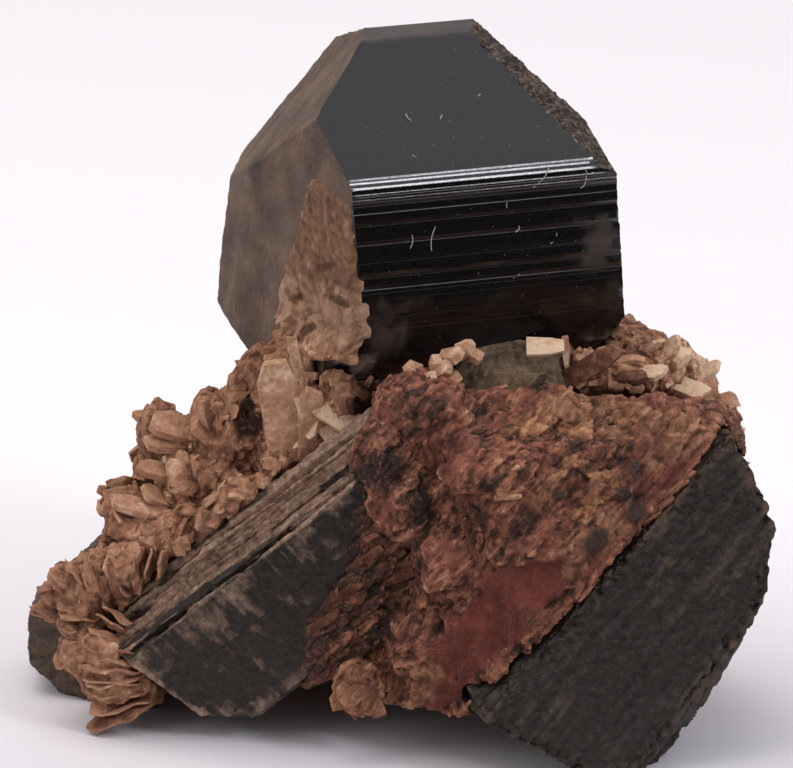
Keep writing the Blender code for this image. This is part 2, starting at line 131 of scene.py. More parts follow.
def card(name, centre, size, material):
    """A flat rectangle lying level."""
    bm = bmesh.new()
    bmesh.ops.create_grid(bm, x_segments=1, y_segments=1, size=0.5)
    bmesh.ops.scale(bm, verts=bm.verts[:], vec=(size[0] * MM, size[1] * MM, 1.0))
    bmesh.ops.translate(bm, verts=bm.verts[:], vec=Vector(centre) * MM)
    made = as_object(name, bm, [material])
    return made


floor_painted_shade, add = blank_material("floor_painted_shade")
place = add("TexCoord").outputs["Object"]
depth_in = add("SeparateXYZ", [place])
share = add("MapRange", (depth_in.outputs["Y"], -40 * MM, 45 * MM))
# Painted shade: the floor's colour runs darker towards the front and is lightest behind.
painted_floor_shade = add("ValToRGB", [share], stops=[(0.0, "#d2ced3"), (0.6, "#e6e3e8"), (1.0, "#f0eef1")])
paint = add("BsdfPrincipled", {"Base Color": painted_floor_shade, "Roughness": 0.85})
add("OutputMaterial", [paint])
card("floor", (0, 0, -0.02), (6000, 6000), floor_painted_shade)

flag_cloth, add = blank_material("black_flag")
cloth = add("BsdfPrincipled", {"Base Color": "#040404", "Roughness": 1.0})
add("OutputMaterial", [cloth])
flag = card("front_flag", (60, -215, 1.0), (700, 380), flag_cloth)
for ray in ("camera", "diffuse", "transmission", "volume_scatter", "shadow"):
    setattr(flag, "visible_" + ray, False)

LIGHTS = [                   # name, place, aim, size, watts, colour
    ("overhead", (-140, 60, 500), (0, 0, 20), (400, 400), 1.2, "#fff9f2"),
    ("right_key", (260, -260, 260), (0, 0, 20), (90, 120), 0.55, "#f6f8ff"),
    ("left_fill", (-320, -200, 160), (0, 0, 15), (260, 220), 0.30, "#fbf7fa"),
]
for name, place, aim, size, watts, colour in LIGHTS:
    data = bpy.data.lights.new(name, "AREA")
    data.shape = "RECTANGLE"
    data.size, data.size_y = size[0] * MM, size[1] * MM
    data.energy = watts
    data.color = srgb(colour)[:3]
    lamp = bpy.data.objects.new(name, data)
    lamp.location = Vector(place) * MM
    lamp.rotation_euler = (Vector(place) - Vector(aim)).to_track_quat("Z", "Y").to_euler()
    scene.collection.objects.link(lamp)

room = bpy.data.worlds.new("room")
room.use_nodes = True
room.node_tree.nodes.clear()
add = partial(add_node, room.node_tree)
height = add("SeparateXYZ", [add("TexCoord")])
level = add("MapRange", (height.outputs["Z"], 0.0, 0.8, 0.25, 0.85))
glow = add("Background", ("#f7f5fa", level))
add("OutputWorld", [glow])
scene.world = room
scene.view_settings.view_transform = "Standard"

# ----------------------------------------
# Main crystal: a short, six-sided amphibole prism, black and glassy on the faces that grew
# against open space, dull with iron-brown dust on its ends. Its prism faces carry growth striae
# along its length. It is one crystal, seated in the matrix.
def direction(azimuth, elevation):
    """Unit vector: azimuth 0 looks out of the front, 90 is +X; elevation 90 is straight up."""
    a, e = radians(azimuth), radians(elevation)
    return Vector((sin(a) * cos(e), -cos(a) * cos(e), sin(e)))


def prism_frame(axis):
    """The prism's long axis, the direction it shows to the front, and its upper side."""
    azimuth, tilt = (radians(angle) for angle in axis)
    along = Vector((cos(azimuth) * cos(tilt), sin(azimuth) * cos(tilt), sin(tilt)))
    out = along.cross(Vector((0, 0, 1))).normalized()
    return along, out, out.cross(along)


def corner(first, second):
    """Where two sides of a cross-section meet, each an angle and a distance from the axis."""
    (a, p), (b, q) = first, second
    a, b = radians(a), radians(b)
    span = sin(b - a)
    return Vector(((p * sin(b) - q * sin(a)) / span, (q * cos(a) - p * cos(b)) / span))


def striated_section(sides, striae, seed):
    """A cross-section whose sides have growth striae: long ramps and short upward steps.

    striae gives, by side angle, the mean spacing and depth, and the main steps as (share of the
    side's width, depth, width by depth).
    """
    rng = random.Random(seed)
    points = []
    for index, (angle, _) in enumerate(sides):
        start = corner(sides[index - 1], sides[index])
        end = corner(sides[index], sides[(index + 1) % len(sides)])
        points.append(start)
        if angle not in striae:
            continue
        spacing, depth, main_steps = striae[angle]
        inward = -Vector((cos(radians(angle)), sin(radians(angle))))
        width = (end - start).length
        steps = list(main_steps)
        at = spacing
        while at < width - spacing:
            steps.append((at / width, depth * rng.uniform(0.15, 1.0) ** 2, rng.uniform(0.3, 0.8)))
            at += spacing * rng.uniform(0.35, 1.8)
        steps.sort()
        last = 0.0
        for share, deep, ramp in steps:
            if share - last < 0.035 / width or share > 1.0 - 0.06 / width:
                continue
            rise = min(deep * ramp, (share - last) * width * 0.5) / width
            points.append(start.lerp(end, share))
            points.append(start.lerp(end, share + rise) + inward * deep)
            last = share + rise
    return points


def striated_prism(origin, axis, sides, striae, half_length, segments, seed):
    """A bar with a striated cross-section along its axis, in many short lengths.

    It is set ring by ring, because an extruded one came out a little different in each run.
    """
    along, out, up = prism_frame(axis)
    section = striated_section(sides, striae, seed)
    bm = bmesh.new()
    rings = []
    for step in range(segments + 1):
        middle = origin + along * half_length * (2.0 * step / segments - 1.0)
        rings.append([bm.verts.new(middle + out * point.x + up * point.y) for point in section])
    bm.faces.new(rings[0])
    bm.faces.new(rings[-1][::-1])
    for near, far in zip(rings, rings[1:]):
        for i in range(len(section)):
            bm.faces.new((near[i - 1], far[i - 1], far[i], near[i]))
    bm.normal_update()
    return bm


def cut_faces(bm, centre, faces):
    """Cut a shape by faces, each an azimuth, an elevation and a distance from the centre.

    Each cut is closed with one face, marked with its number. Returns their normals and distances.
    """
    marks = bm.faces.layers.int.new("mark")
    planes = []
    for mark, (azimuth, elevation, distance) in enumerate(faces, start=1):
        normal = direction(azimuth, elevation)
        planes.append((normal, distance))
        result = bmesh.ops.bisect_plane(bm, geom=bm.verts[:] + bm.edges[:] + bm.faces[:],
            dist=1e-5, plane_co=centre + normal * distance, plane_no=normal, clear_outer=True)
        rim = [item for item in result["geom_cut"]
            if isinstance(item, bmesh.types.BMEdge) and item.is_boundary]
        if rim:
            for face in bmesh.ops.contextual_create(bm, geom=rim)["faces"]:
                face[marks] = mark
    return planes


def refine(bm, longest, passes=6, evened=3):
    """Halve the long edges of the marked faces, up to so many times, the first few evened out."""
    marks = bm.faces.layers.int.get("mark")
    bmesh.ops.triangulate(bm, faces=bm.faces[:], ngon_method="EAR_CLIP")
    for turn in range(passes):
        if turn < evened:
            marked = [face for face in bm.faces if face[marks]]
            within = [edge for edge in bm.edges if len(edge.link_faces) == 2
                and edge.link_faces[0][marks] == edge.link_faces[1][marks] > 0]
            bmesh.ops.beautify_fill(bm, faces=marked, edges=within)
        split = [edge for edge in bm.edges if edge.calc_length() > longest
            and any(face[marks] for face in edge.link_faces)]
        bmesh.ops.subdivide_edges(bm, edges=split, cuts=1)
        bmesh.ops.triangulate(bm, faces=[face for face in bm.faces if len(face.verts) > 3])
    bmesh.ops.dissolve_degenerate(bm, dist=1e-3, edges=bm.edges[:])


def finish_piece(name, bm, node, materials, smooth):
    """Move a piece to the part's origin in metres, and let it ride in place of its solid."""
    bmesh.ops.translate(bm, verts=bm.verts[:], vec=-ORIGIN)
    bmesh.ops.scale(bm, verts=bm.verts[:], vec=(MM, MM, MM))
    piece = as_object(name, bm, materials)
    piece.data.shade_smooth()
    piece.data.set_sharp_from_angle(angle=radians(smooth))
    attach(piece, "root")
    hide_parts(node)


def clamp(value, low=0.0, high=1.0):
    return max(low, min(high, value))


def seen(point):
    """How far right of and above the aim a point appears from the front, in millimetres."""
    return point.x - AIM.x, (point.y - AIM.y) * sin(drop) + (point.z - AIM.z) * cos(drop)


def patch(point, spots, ragged=0.35, crisp=4.0):
    """How far inside any of some ellipses a point appears, with ragged rims: 0 to 1."""
    right, above = seen(point)
    wobble = ragged * noise.fractal(point * 0.9, 0.8, 2.0, 3)
    deepest = 0.0
    for centre_right, centre_above, half_long, half_wide, turn in spots:
        a = radians(turn)
        x, y = right - centre_right, above - centre_above
        long_share = (x * cos(a) + y * sin(a)) / half_long
        wide_share = (y * cos(a) - x * sin(a)) / half_wide
        deepest = max(deepest, clamp((1.0 + wobble - hypot(long_share, wide_share)) * crisp))
    return deepest


def surface_at(surface, right, above):
    """The first surface point met from the front at a place in the view, and its normal."""
    start = AIM + Vector((right, 0, 0)) + Vector((0, sin(drop), cos(drop))) * above
    place, normal, _, _ = surface.ray_cast(start + towards_camera * 80.0, -towards_camera)
    return place, normal


MAIN_CENTRE = Vector((3.0, 3.0, 34.0))
MAIN_AXIS = (22.0, 0.0)
MAIN_SIDES = [(-90, 13.4), (-48, 12.4), (-8, 8.0), (50, 5.4), (78, 7.0), (106, 7.75), (168, 9.6),
    (228, 15.4)]
TOP_SIDE = MAIN_SIDES[4]             # the narrow side above, with a pale film: dust, and painted sheen for its grazing reflection
MAIN_HALF_LENGTH = 24.0
DUSTY_CORNERS = [(12.0, 2.2, 2.2, 1.2, 28), (-2.0, 1.4, 1.0, 0.8, 0)]
ROUNDED_EDGE = [(6, 0.03), (27, 0.06), (42, 0.03)]     # facet angle, how deep it cuts
MAIN_ENDS = [(-61, -3, 10.2), (-40, -11, 11.8), (-88, 39, 8.5), (-71, 1, 11.0), (-104, 10, 13.0),
    (-82, -36, 16.9), (70, 53, 6.4), (104, 46, 6.9), (110, 7, 7.8), (95, -40, 14.0)]
DUSTY_ENDS = (1, 3, 4, 5, 6)         # marks of the dull left faces
HIDDEN_ENDS = (9, 10)                # marks of the right end, with less dust
ETCHED_ENDS = (7, 8)                 # marks of the pitted bevel at the upper right
DUST_LINE = 23.4                     # height below which the grown faces are dusty
FACE_SMEARS = [(12.0, 8.6, 1.2, 2.0, 0), (-0.6, 3.2, 1.2, 1.6, 20)]
FRONT_STEPS = [(0.30, 0.05, 0.6), (0.42, 0.06, 0.5), (0.50, 0.04, 0.6), (0.68, 0.05, 0.5),
    (0.79, 0.06, 0.6), (0.86, 0.04, 0.8), (0.905, 0.05, 1.3), (0.925, 0.05, 0.8),
    (0.94, 0.05, 1.3), (0.958, 0.05, 0.8), (0.972, 0.04, 1.3)]
UPPER_STEPS = [(0.010, 0.045, 0.5), (0.022, 0.04, 0.5), (0.035, 0.045, 0.5), (0.048, 0.02, 0.5),
    (0.065, 0.03, 0.5), (0.085, 0.012, 0.5), (0.12, 0.008, 0.5), (0.38, 0.012, 0.5)]
MAIN_STRIAE = {-48: (0.5, 0.03, []), -8: (0.30, 0.014, FRONT_STEPS),
    50: (0.26, 0.005, UPPER_STEPS), 78: (0.25, 0.012, []), 106: (0.4, 0.03, []),
    168: (0.5, 0.05, []), 228: (0.6, 0.06, [])}

edge_at = corner(MAIN_SIDES[2], MAIN_SIDES[3])
sides = list(MAIN_SIDES)
for angle, bite in reversed(ROUNDED_EDGE):
    outward = Vector((cos(radians(angle)), sin(radians(angle))))
    sides.insert(3, (angle, edge_at.dot(outward) - bite))
    MAIN_STRIAE[angle] = (0.09, 0.02, [])
bm = striated_prism(MAIN_CENTRE, MAIN_AXIS, sides, MAIN_STRIAE, MAIN_HALF_LENGTH, 130, seed=3)
end_planes = cut_faces(bm, MAIN_CENTRE, MAIN_ENDS)
refine(bm, 0.42)

along, out, up = prism_frame(MAIN_AXIS)
top_angle = radians(TOP_SIDE[0])
marks = bm.faces.layers.int["mark"]
end_dust, end_etch = bm.faces.layers.float.new("end_dust"), bm.faces.layers.float.new("end_etch")
for face in bm.faces:
    face[end_dust] = 1.0 if face[marks] in DUSTY_ENDS else 0.5 * (face[marks] in HIDDEN_ENDS)
    face[end_etch] = float(face[marks] in ETCHED_ENDS)
dust = bm.verts.layers.float.new("dust")
for vert in bm.verts:
    local = vert.co - MAIN_CENTRE
    depths = [distance - normal.dot(local) for normal, distance in end_planes]
    dusty = min(depths[mark - 1] for mark in DUSTY_ENDS + HIDDEN_ENDS)
    etched = min(depths[mark - 1] for mark in ETCHED_ENDS)
    t, s = local.dot(along), local.dot(out)
    below_top = TOP_SIDE[1] - s * cos(top_angle) - local.z * sin(top_angle)
    grain = noise.fractal(vert.co * 2.6, 0.6, 2.2, 4)
    if dusty < 0.02:
        waves = noise.fractal(vert.co * 0.35, 1.0, 2.0, 3)
        vert.co += vert.normal * (0.10 * waves + 0.05 * grain)
    elif etched < 0.02:
        pits = noise.fractal(vert.co * 1.7 + Vector((7, 0, 3)), 0.7, 2.1, 4)
        vert.co += vert.normal * (0.16 * grain - 0.30 * max(0.0, pits))
    else:
        slow = noise.noise(Vector((t * 0.10, s * 0.3, vert.co.z * 0.8)))
        vert.co += vert.normal * 0.012 * slow
    low = clamp((DUST_LINE - vert.co.z) / 2.2)
    low *= clamp(0.2 + noise.fractal(vert.co * 1.1, 0.8, 2.0, 3))
    # On the narrow top side, a pale film: dust, and painted sheen that stands in for its grazing
    # reflection.
    top_dust_and_sheen = clamp(1.0 - below_top / 0.08) * (0.24 + 0.15 * grain)
    smear = 0.9 * patch(vert.co, DUSTY_CORNERS, 0.5, 2.0) if vert.co.z < 28.0 else 0.0
    vert[dust] = max(0.5 * low, top_dust_and_sheen, smear, 0.32 * patch(vert.co, FACE_SMEARS, 0.8, 1.5))

# Lint: short pale fibres that lie on the grown faces.
FIBRES = [                   # right of and above the aim, turn, length, bend
    (8.5, 12.3, 48, 1.7, 0.10), (0.9, 8.7, 85, 0.8, 0.1), (2.0, 8.9, 80, 1.4, -0.1),
    (7.2, 9.5, 65, 0.5, 0.2), (6.5, 10.7, -55, 0.6, 0.3), (7.1, 6.7, 35, 0.45, 0.1),
    (11.0, 12.0, 40, 1.1, 0.35), (11.3, 12.8, -20, 0.5, 0.4), (0.6, 16.0, -50, 0.5, 0.2),
    (2.6, 16.1, 70, 0.35, 0.0), (1.1, 13.7, 15, 0.4, 0.3), (9.4, 8.9, 60, 0.7, 0.2),
    (4.8, 17.4, 20, 0.3, 0.2),
]
FIBRE_RADIUS = 0.024
crystal_tree = BVHTree.FromBMesh(bm)
for number, (right, above, turn, length, bend) in enumerate(FIBRES):
    slope = radians(turn)
    rings = []
    for step in range(9):
        share = step / 8.0 - 0.5
        x = right + length * (share * cos(slope) - bend * (4 * share ** 2) * sin(slope))
        z = above + length * (share * sin(slope) + bend * (4 * share ** 2) * cos(slope))
        place, normal = surface_at(crystal_tree, x, z)
        centre = place + normal * (0.03 + 0.05 * sin(3.0 * share + number))
        rings.append([bm.verts.new(centre + Vector((cos(a), 0, sin(a))) * FIBRE_RADIUS)
            for a in (0.5, 2.6, 4.7)])
    caps = [bm.faces.new(rings[0]), bm.faces.new(rings[-1][::-1])]
    for first, second in zip(rings, rings[1:]):
        caps += [bm.faces.new((first[i], second[i], second[(i + 1) % 3], first[(i + 1) % 3]))
            for i in range(3)]
    for face in caps:
        face.material_index = 1
bmesh.ops.recalc_face_normals(bm, faces=bm.faces[:])
lint, add = blank_material("lint")
fluff = add("BsdfPrincipled", {"Base Color": "#b7aea6", "Roughness": 0.8})
add("OutputMaterial", [fluff])

# Black amphibole, grown face: dense, glassy, IOR 1.65. The striae and a little dust are all that
# break the reflection. Iron-brown dust lies on the ends, as fine as flour.
black_glassy, add = blank_material("amphibole_grown_face")
place = add("TexCoord").outputs["Object"]
AXIS_TURN = (0.0, 0.0, -radians(MAIN_AXIS[0]))
lengthwise = add("Mapping", {"Vector": place, "Rotation": AXIS_TURN,
    "Scale": (60.0, 9000.0, 9000.0)})
streaks = add("TexNoise", {"Vector": lengthwise, "Scale": 1.0, "Detail": 3.0, "Roughness": 0.6})
specks = add("TexNoise", {"Vector": place, "Scale": 2600.0, "Detail": 4.0, "Roughness": 0.7})
clouds = add("TexNoise", {"Vector": place, "Scale": 380.0, "Detail": 5.0, "Roughness": 0.6})
loose_dust = add("Attribute", attribute_name="dust").outputs["Fac"]
settled_dust = add("Attribute", attribute_name="end_dust").outputs["Fac"]
dust_amount = add("Math", (loose_dust, settled_dust), operation="MAXIMUM")
etch_amount = add("Attribute", attribute_name="end_etch").outputs["Fac"]
crystal_tint = add("ValToRGB", [streaks],
    stops=[(0.35, "#070708"), (0.5, "#0d0c0c"), (0.65, "#151112")])
dust_tint = add("ValToRGB", [clouds], stops=[(0.3, "#44332a"), (0.5, "#5a4637"), (0.7, "#705a48")])
etch_tint = add("ValToRGB", [specks],
    stops=[(0.38, "#14100e"), (0.5, "#3a2c22"), (0.62, "#6b5847")])
etched = add("MixRGB", (etch_amount, crystal_tint, etch_tint))
dusted = add("MixRGB", (dust_amount, etched, dust_tint))
motes = add("TexVoronoi", {"Vector": place, "Scale": 1500.0})
mote = add("Math", (motes, 0.055), operation="LESS_THAN")
dusted = add("MixRGB", (mote, dusted, "#6b645d"))
dull = add("Math", (dust_amount, etch_amount), operation="MAXIMUM")
gloss = add("MapRange", (streaks, 0.3, 0.7, 0.10, 0.22))
roughness = add("MapRange", (dull, 0.0, 0.7, gloss, 0.92))
fine = add("Bump", {"Height": streaks, "Strength": 0.12, "Distance": 0.00002})
powder = add("Bump", {"Height": specks, "Strength": dull, "Distance": 0.00008, "Normal": fine})
shader = add("BsdfPrincipled", {"Base Color": dusted, "Roughness": roughness, "IOR": 1.65,
    "Normal": powder})
add("OutputMaterial", [shader])

finish_piece("striated_crystal", bm, "main_crystal", [black_glassy, lint],
    smooth=24)

# ----------------------------------------
# Front prism: a second amphibole prism that leans up across the front. Its upper side is weathered
# into dense splintery ribs, dustier on their crests, with the grooves between them painted darker
# as painted shade, and its lower side is dull dark slate.
def worn_amphibole(name, dark, fresh, dust_low, dust_high):
    """Dull, finely rough amphibole with brown dust where the "dust" attribute says, more of it on
    sharp edges and less in hollows, as painted highlight and shade.
    """
    made, add = blank_material(name)
    place = add("TexCoord").outputs["Object"]
    grain = add("TexNoise", {"Vector": place, "Scale": 2400.0, "Detail": 5.0, "Roughness": 0.7})
    clouds = add("TexNoise", {"Vector": place, "Scale": 700.0, "Detail": 6.0, "Roughness": 0.65})
    dust_amount = add("Attribute", attribute_name="dust").outputs["Fac"]
    stone = add("ValToRGB", [grain], stops=[(0.35, dark), (0.65, fresh)])
    powder = add("ValToRGB", [grain], stops=[(0.3, dust_low), (0.7, dust_high)])
    # Painted highlight and shade: by the mesh's pointiness, sharp edges get more pale dust and
    # hollows less.
    edges = add("MapRange", (add("NewGeometry").outputs["Pointiness"], 0.42, 0.58, -0.25, 0.25))
    patchy = add("Math", (clouds, dust_amount), operation="ADD")
    patchy = add("Math", (patchy, edges), operation="ADD")
    amount = add("MapRange", (patchy, 0.75, 1.2))
    colour = add("MixRGB", (amount, stone, powder))
    rust_amount = add("Attribute", attribute_name="rust").outputs["Fac"]
    rust_tint = add("ValToRGB", [clouds],
        stops=[(0.38, "#1d140f"), (0.5, "#46301f"), (0.62, "#6b4330")])
    colour = add("MixRGB", (rust_amount, colour, rust_tint))
    roughness = add("MapRange", (amount, 0.0, 1.0, 0.42, 0.9))
    relief = add("Bump", {"Height": grain, "Strength": 0.8, "Distance": 0.00012})
    shader = add("BsdfPrincipled", {"Base Color": colour, "Roughness": roughness,
        "IOR": 1.62, "Specular IOR Level": 0.22, "Normal": relief})
    add("OutputMaterial", [shader])
    return made


FRONT_ORIGIN = Vector((-15.77, -7.0, 5.25))
FRONT_AXIS = (-13.3, 39.8)
UPPER_SIDE, LOWER_SIDE = 52, -12       # angles of the two sides that face the front
FRONT_SIDES = [(-70, 6.3), (LOWER_SIDE, 0.0), (UPPER_SIDE, 0.0), (112, 4.3), (172, 6.2),
    (232, 7.2)]
RIB_STEPS = [(0.10, 0.5, 0.5), (0.30, 0.6, 0.5), (0.52, 0.5, 0.6), (0.76, 0.5, 0.5)]
FRONT_STRIAE = {UPPER_SIDE: (0.24, 0.55, RIB_STEPS), LOWER_SIDE: (0.9, 0.05, []),
    -70: (0.5, 0.1, []), 112: (0.5, 0.2, [])}
FRONT_ENDS = [(-75, -51, 0.3), (0, -88, 3.6), (78, 38, 21.0)]
FRONT_HALF_LENGTH = 26.0

bm = striated_prism(FRONT_ORIGIN, FRONT_AXIS, FRONT_SIDES, FRONT_STRIAE, FRONT_HALF_LENGTH, 200,
    seed=11)
cut_faces(bm, FRONT_ORIGIN, FRONT_ENDS)
refine(bm, 0.3)
along, out, up = prism_frame(FRONT_AXIS)
upper_side, lower_side = (out * cos(radians(side)) + up * sin(radians(side))
    for side in (UPPER_SIDE, LOWER_SIDE))
end = direction(*FRONT_ENDS[0][:2])
dust, rust = bm.verts.layers.float.new("dust"), bm.verts.layers.float.new("rust")
for vert in bm.verts:
    local = vert.co - FRONT_ORIGIN
    t, s, u = local.dot(along), local.dot(out), local.dot(up)
    ribs = noise.fractal(Vector((t * 0.16, s * 2.4, u * 2.4)), 0.7, 2.1, 4)
    grain = noise.fractal(vert.co * 2.2, 0.7, 2.1, 4)
    depth = -local.dot(upper_side)           # below the upper side's own plane
    facing_up = clamp((-local.dot(lower_side) - 0.12) / 0.2) * clamp(1.8 - depth)
    streak = noise.fractal(Vector((t * 0.07, local.dot(lower_side) * 3.6, 3.3)), 0.5, 2.2, 4)
    mottle = noise.fractal(Vector((t * 0.7, s * 2.4, u * 2.4)), 0.6, 2.2, 4)
    near_end = clamp(1.0 - abs(FRONT_ENDS[0][2] - end.dot(local)) / 0.5)
    vert.co += vert.normal * (0.20 * ribs * (0.25 + facing_up) + 0.08 * grain)
    # Dust is heavier on the rib crests, so the grooves stay darker: real dust, and painted shade
    # in the grooves.
    crest_dust_groove_shade = clamp(0.55 + 1.2 * (0.32 - depth) + 4.2 * streak)
    dusty_side = 0.75 * crest_dust_groove_shade - 0.12 + 0.3 * ribs + 0.45 * clamp((t - 9.0) / 6.0)
    vert[dust] = clamp(0.10 + facing_up * dusty_side + 0.5 * near_end
        + (1.0 - facing_up) * (0.04 + 0.26 * mottle))
    right, above = seen(vert.co)
    vert[rust] = clamp((right + 1.7 - 0.55 * (above + 9.0) / 1.2) / 1.2)
front_slate = worn_amphibole("amphibole_weathered_ribs", "#15100d", "#33291f", "#513d2f",
    "#b0927a")
finish_piece("leaning_prism", bm, "front_prism", [front_slate], smooth=30)

# ----------------------------------------
# Right crystal: a thick broken amphibole block at the lower right, dull black, with faint steps
# that run up to the right at 50 degrees and chipped edges.
def broken_crystal(centre, faces, longest, passes, turn, step, chips, dusting, seed):
    """A block cut by faces, stepped along one direction, with chipped edges and dust."""
    bm = bmesh.new()
    bmesh.ops.create_cube(bm, size=90.0)
    bmesh.ops.translate(bm, verts=bm.verts[:], vec=centre)
    planes = cut_faces(bm, centre, faces)
    refine(bm, longest, passes)
    dust = bm.verts.layers.float.new("dust")
    slope = radians(turn)
    shift = Vector((seed, 2.0 * seed, 0.0))
    for vert in bm.verts:
        local = vert.co - centre
        depths = sorted(distance - normal.dot(local) for normal, distance in planes)
        near_edge = clamp(1.0 - depths[1] / 1.1)
        t = local.x * cos(slope) + local.z * sin(slope)
        s = local.z * cos(slope) - local.x * sin(slope)
        ledges = noise.fractal(Vector((t * 0.09, s * 1.6, local.y * 0.5)) + shift, 0.7, 2.3, 5)
        grain = noise.fractal(vert.co * 2.0 + shift, 0.6, 2.1, 4)
        bites = max(0.0, noise.fractal(vert.co * 1.5 + shift, 0.6, 2.2, 4) + 0.1)
        vert.co += vert.normal * (step * ledges + 0.035 * grain - chips * near_edge * bites)
        vert.co.z = max(vert.co.z, 0.0)
        clouds = noise.noise(vert.co * 0.35 + shift)
        vert[dust] = clamp(dusting + 0.25 * near_edge + 0.22 * ledges + 0.012 * local.z
            + 0.3 * clouds)
    return bm


RIGHT_CENTRE = Vector((14.0, -9.0, 9.5))
RIGHT_FACES = [(19.5, 7.5, 2.86), (199, -4, 5.3), (-57, 47, 3.9), (180, 70, 10.0),
    (105, 27, 9.65), (105, 16, 9.1), (105, -10, 7.4), (105, -28, 6.45),
    (100, -36, 7.2), (95, -46, 7.8), (57, -26, 6.2), (-70, -58, 10.2),
    (-80, -15, 11.0), (0, -90, 9.5)]
dull_black = worn_amphibole("amphibole_broken", "#130e0b", "#302820", "#3a2f26", "#665444")
bm = broken_crystal(RIGHT_CENTRE, RIGHT_FACES, 0.30, 7, 50, 0.14, 0.5, 0.12, seed=5)
finish_piece("broken_block", bm, "right_crystal", [dull_black], smooth=35)

# ----------------------------------------
# Small crystals: one behind the lower left corner, one on the left shoulder, and a grey one under
# the main crystal, all partly buried in the feldspar.
SMALL_CRYSTALS = [           # piece, node, slot, centre, faces, dust
    ("corner_crystal", "back_crystal", "black_amphibole", Vector((-18.6, 5.2, 4.1)),
     [(-20, 12, 3.0), (160, 5, 3.2), (-95, 45, 3.1), (-92, 0, 3.8), (-85, -45, 4.4), (90, 0, 4.1),
      (0, 80, 4.2), (0, -90, 4.1), (-40, -30, 4.6)], 0.55),
    ("shoulder_crystal", "small_crystal", "black_amphibole", Vector((-14.8, 5.6, 11.6)),
     [(-30, 30, 1.3), (-110, 25, 1.6), (30, 50, 1.6), (150, 20, 1.5), (-60, 72, 2.1),
      (90, -10, 2.4), (0, -84, 1.9)], 0.1),
    ("grey_crystal", "under_crystal", "grey_amphibole", Vector((7.3, -4.9, 21.4)),
     [(-4, 14, 1.7), (176, 0, 2.4), (-70, 30, 2.7), (0, 74, 1.6), (66, 24, 2.6), (30, 48, 2.0),
      (72, -30, 2.9), (-70, -30, 2.9), (0, -88, 2.6)], 0.42),
]
dull_grey = worn_amphibole("amphibole_grey", "#302820", "#50453a", "#54412f", "#86705a")
for number, (piece, node, slot, centre, faces, dusting) in enumerate(SMALL_CRYSTALS):
    bm = broken_crystal(centre, faces, 0.25, 6, 20 + 30 * number, 0.07, 0.2, dusting, seed=number)
    look = dull_grey if slot == "grey_amphibole" else dull_black
    finish_piece(piece, bm, node, [look], smooth=35)

# ----------------------------------------
# Tan feldspar: the body of the matrix, a jumble of thin blades and blocky cleavage fragments,
# dull.
# Its tips are painted paler, as painted light, and its hollows brown, as painted shade with some
# dirt. It also crusts the dusty end of the main crystal.
def solid_copy(node_name):
    """A copy of a solid, merged, in the crystals' own millimetres."""
    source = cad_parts[node_name]
    bm = bmesh.new()
    bm.from_mesh(source.data)
    bm.transform(source.matrix_world)
    bmesh.ops.remove_doubles(bm, verts=bm.verts[:], dist=1e-7)
    bmesh.ops.scale(bm, verts=bm.verts[:], vec=(1 / MM, 1 / MM, 1 / MM))
    bmesh.ops.translate(bm, verts=bm.verts[:], vec=ORIGIN)
    return bm


def rock_copy(node_name, voxel):
    """A fresh even skin over a copy of a solid, twice as fine where the front view sees it."""
    rough = as_object("rough_" + node_name, solid_copy(node_name))
    mesh = rough.data
    skin = rough.modifiers.new("skin", "REMESH")
    skin.mode, skin.voxel_size = "VOXEL", voxel
    evaluated = rough.evaluated_get(bpy.context.evaluated_depsgraph_get())
    fresh = bmesh.new()
    fresh.from_mesh(evaluated.data)
    bpy.data.objects.remove(rough)
    bpy.data.meshes.remove(mesh)
    fresh.normal_update()
    open_view = {vert for vert in fresh.verts if vert.normal.dot(towards_camera) > -0.1
        and not any(solid.ray_cast(vert.co + vert.normal * 0.5, towards_camera)[0]
                    for solid in solids)}
    shown = [edge for edge in fresh.edges if open_view.issuperset(edge.verts)]
    bmesh.ops.subdivide_edges(fresh, edges=shown, cuts=1, use_grid_fill=True)
    bmesh.ops.triangulate(fresh, faces=[face for face in fresh.faces if len(face.verts) > 4])
    return fresh


# The seeds make the scatter of the fragments, and noise_vector, the same in each run.
noise.seed_set(21)
rng = random.Random(21)
solids = []
for node_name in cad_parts:
    solid = solid_copy(node_name)
    solids.append(BVHTree.FromBMesh(solid))
    solid.free()


def fragments(point, size, stretch=(1.0, 1.0, 1.0)):
    """Relief of broken cleavage blocks: each cell is a flat facet of its own tilt and height."""
    scaled = Vector(tuple(p * f / size for p, f in zip(point, stretch)))
    _, centres = noise.voronoi(scaled)
    tilt = noise.noise_vector(centres[0] * 5.3)
    height = noise.noise(centres[0] * 3.1 + Vector((9.2, 1.7, 4.4)))
    return clamp(tilt.dot(scaled - centres[0]) * 1.2 + 0.6 * height, -1.0, 1.0), height


SHARD_OUTLINE = [(-0.5, -0.9), (0.7, -1.0), (1.0, -0.7), (0.95, 0.5), (0.6, 1.0), (-0.5, 0.9)]


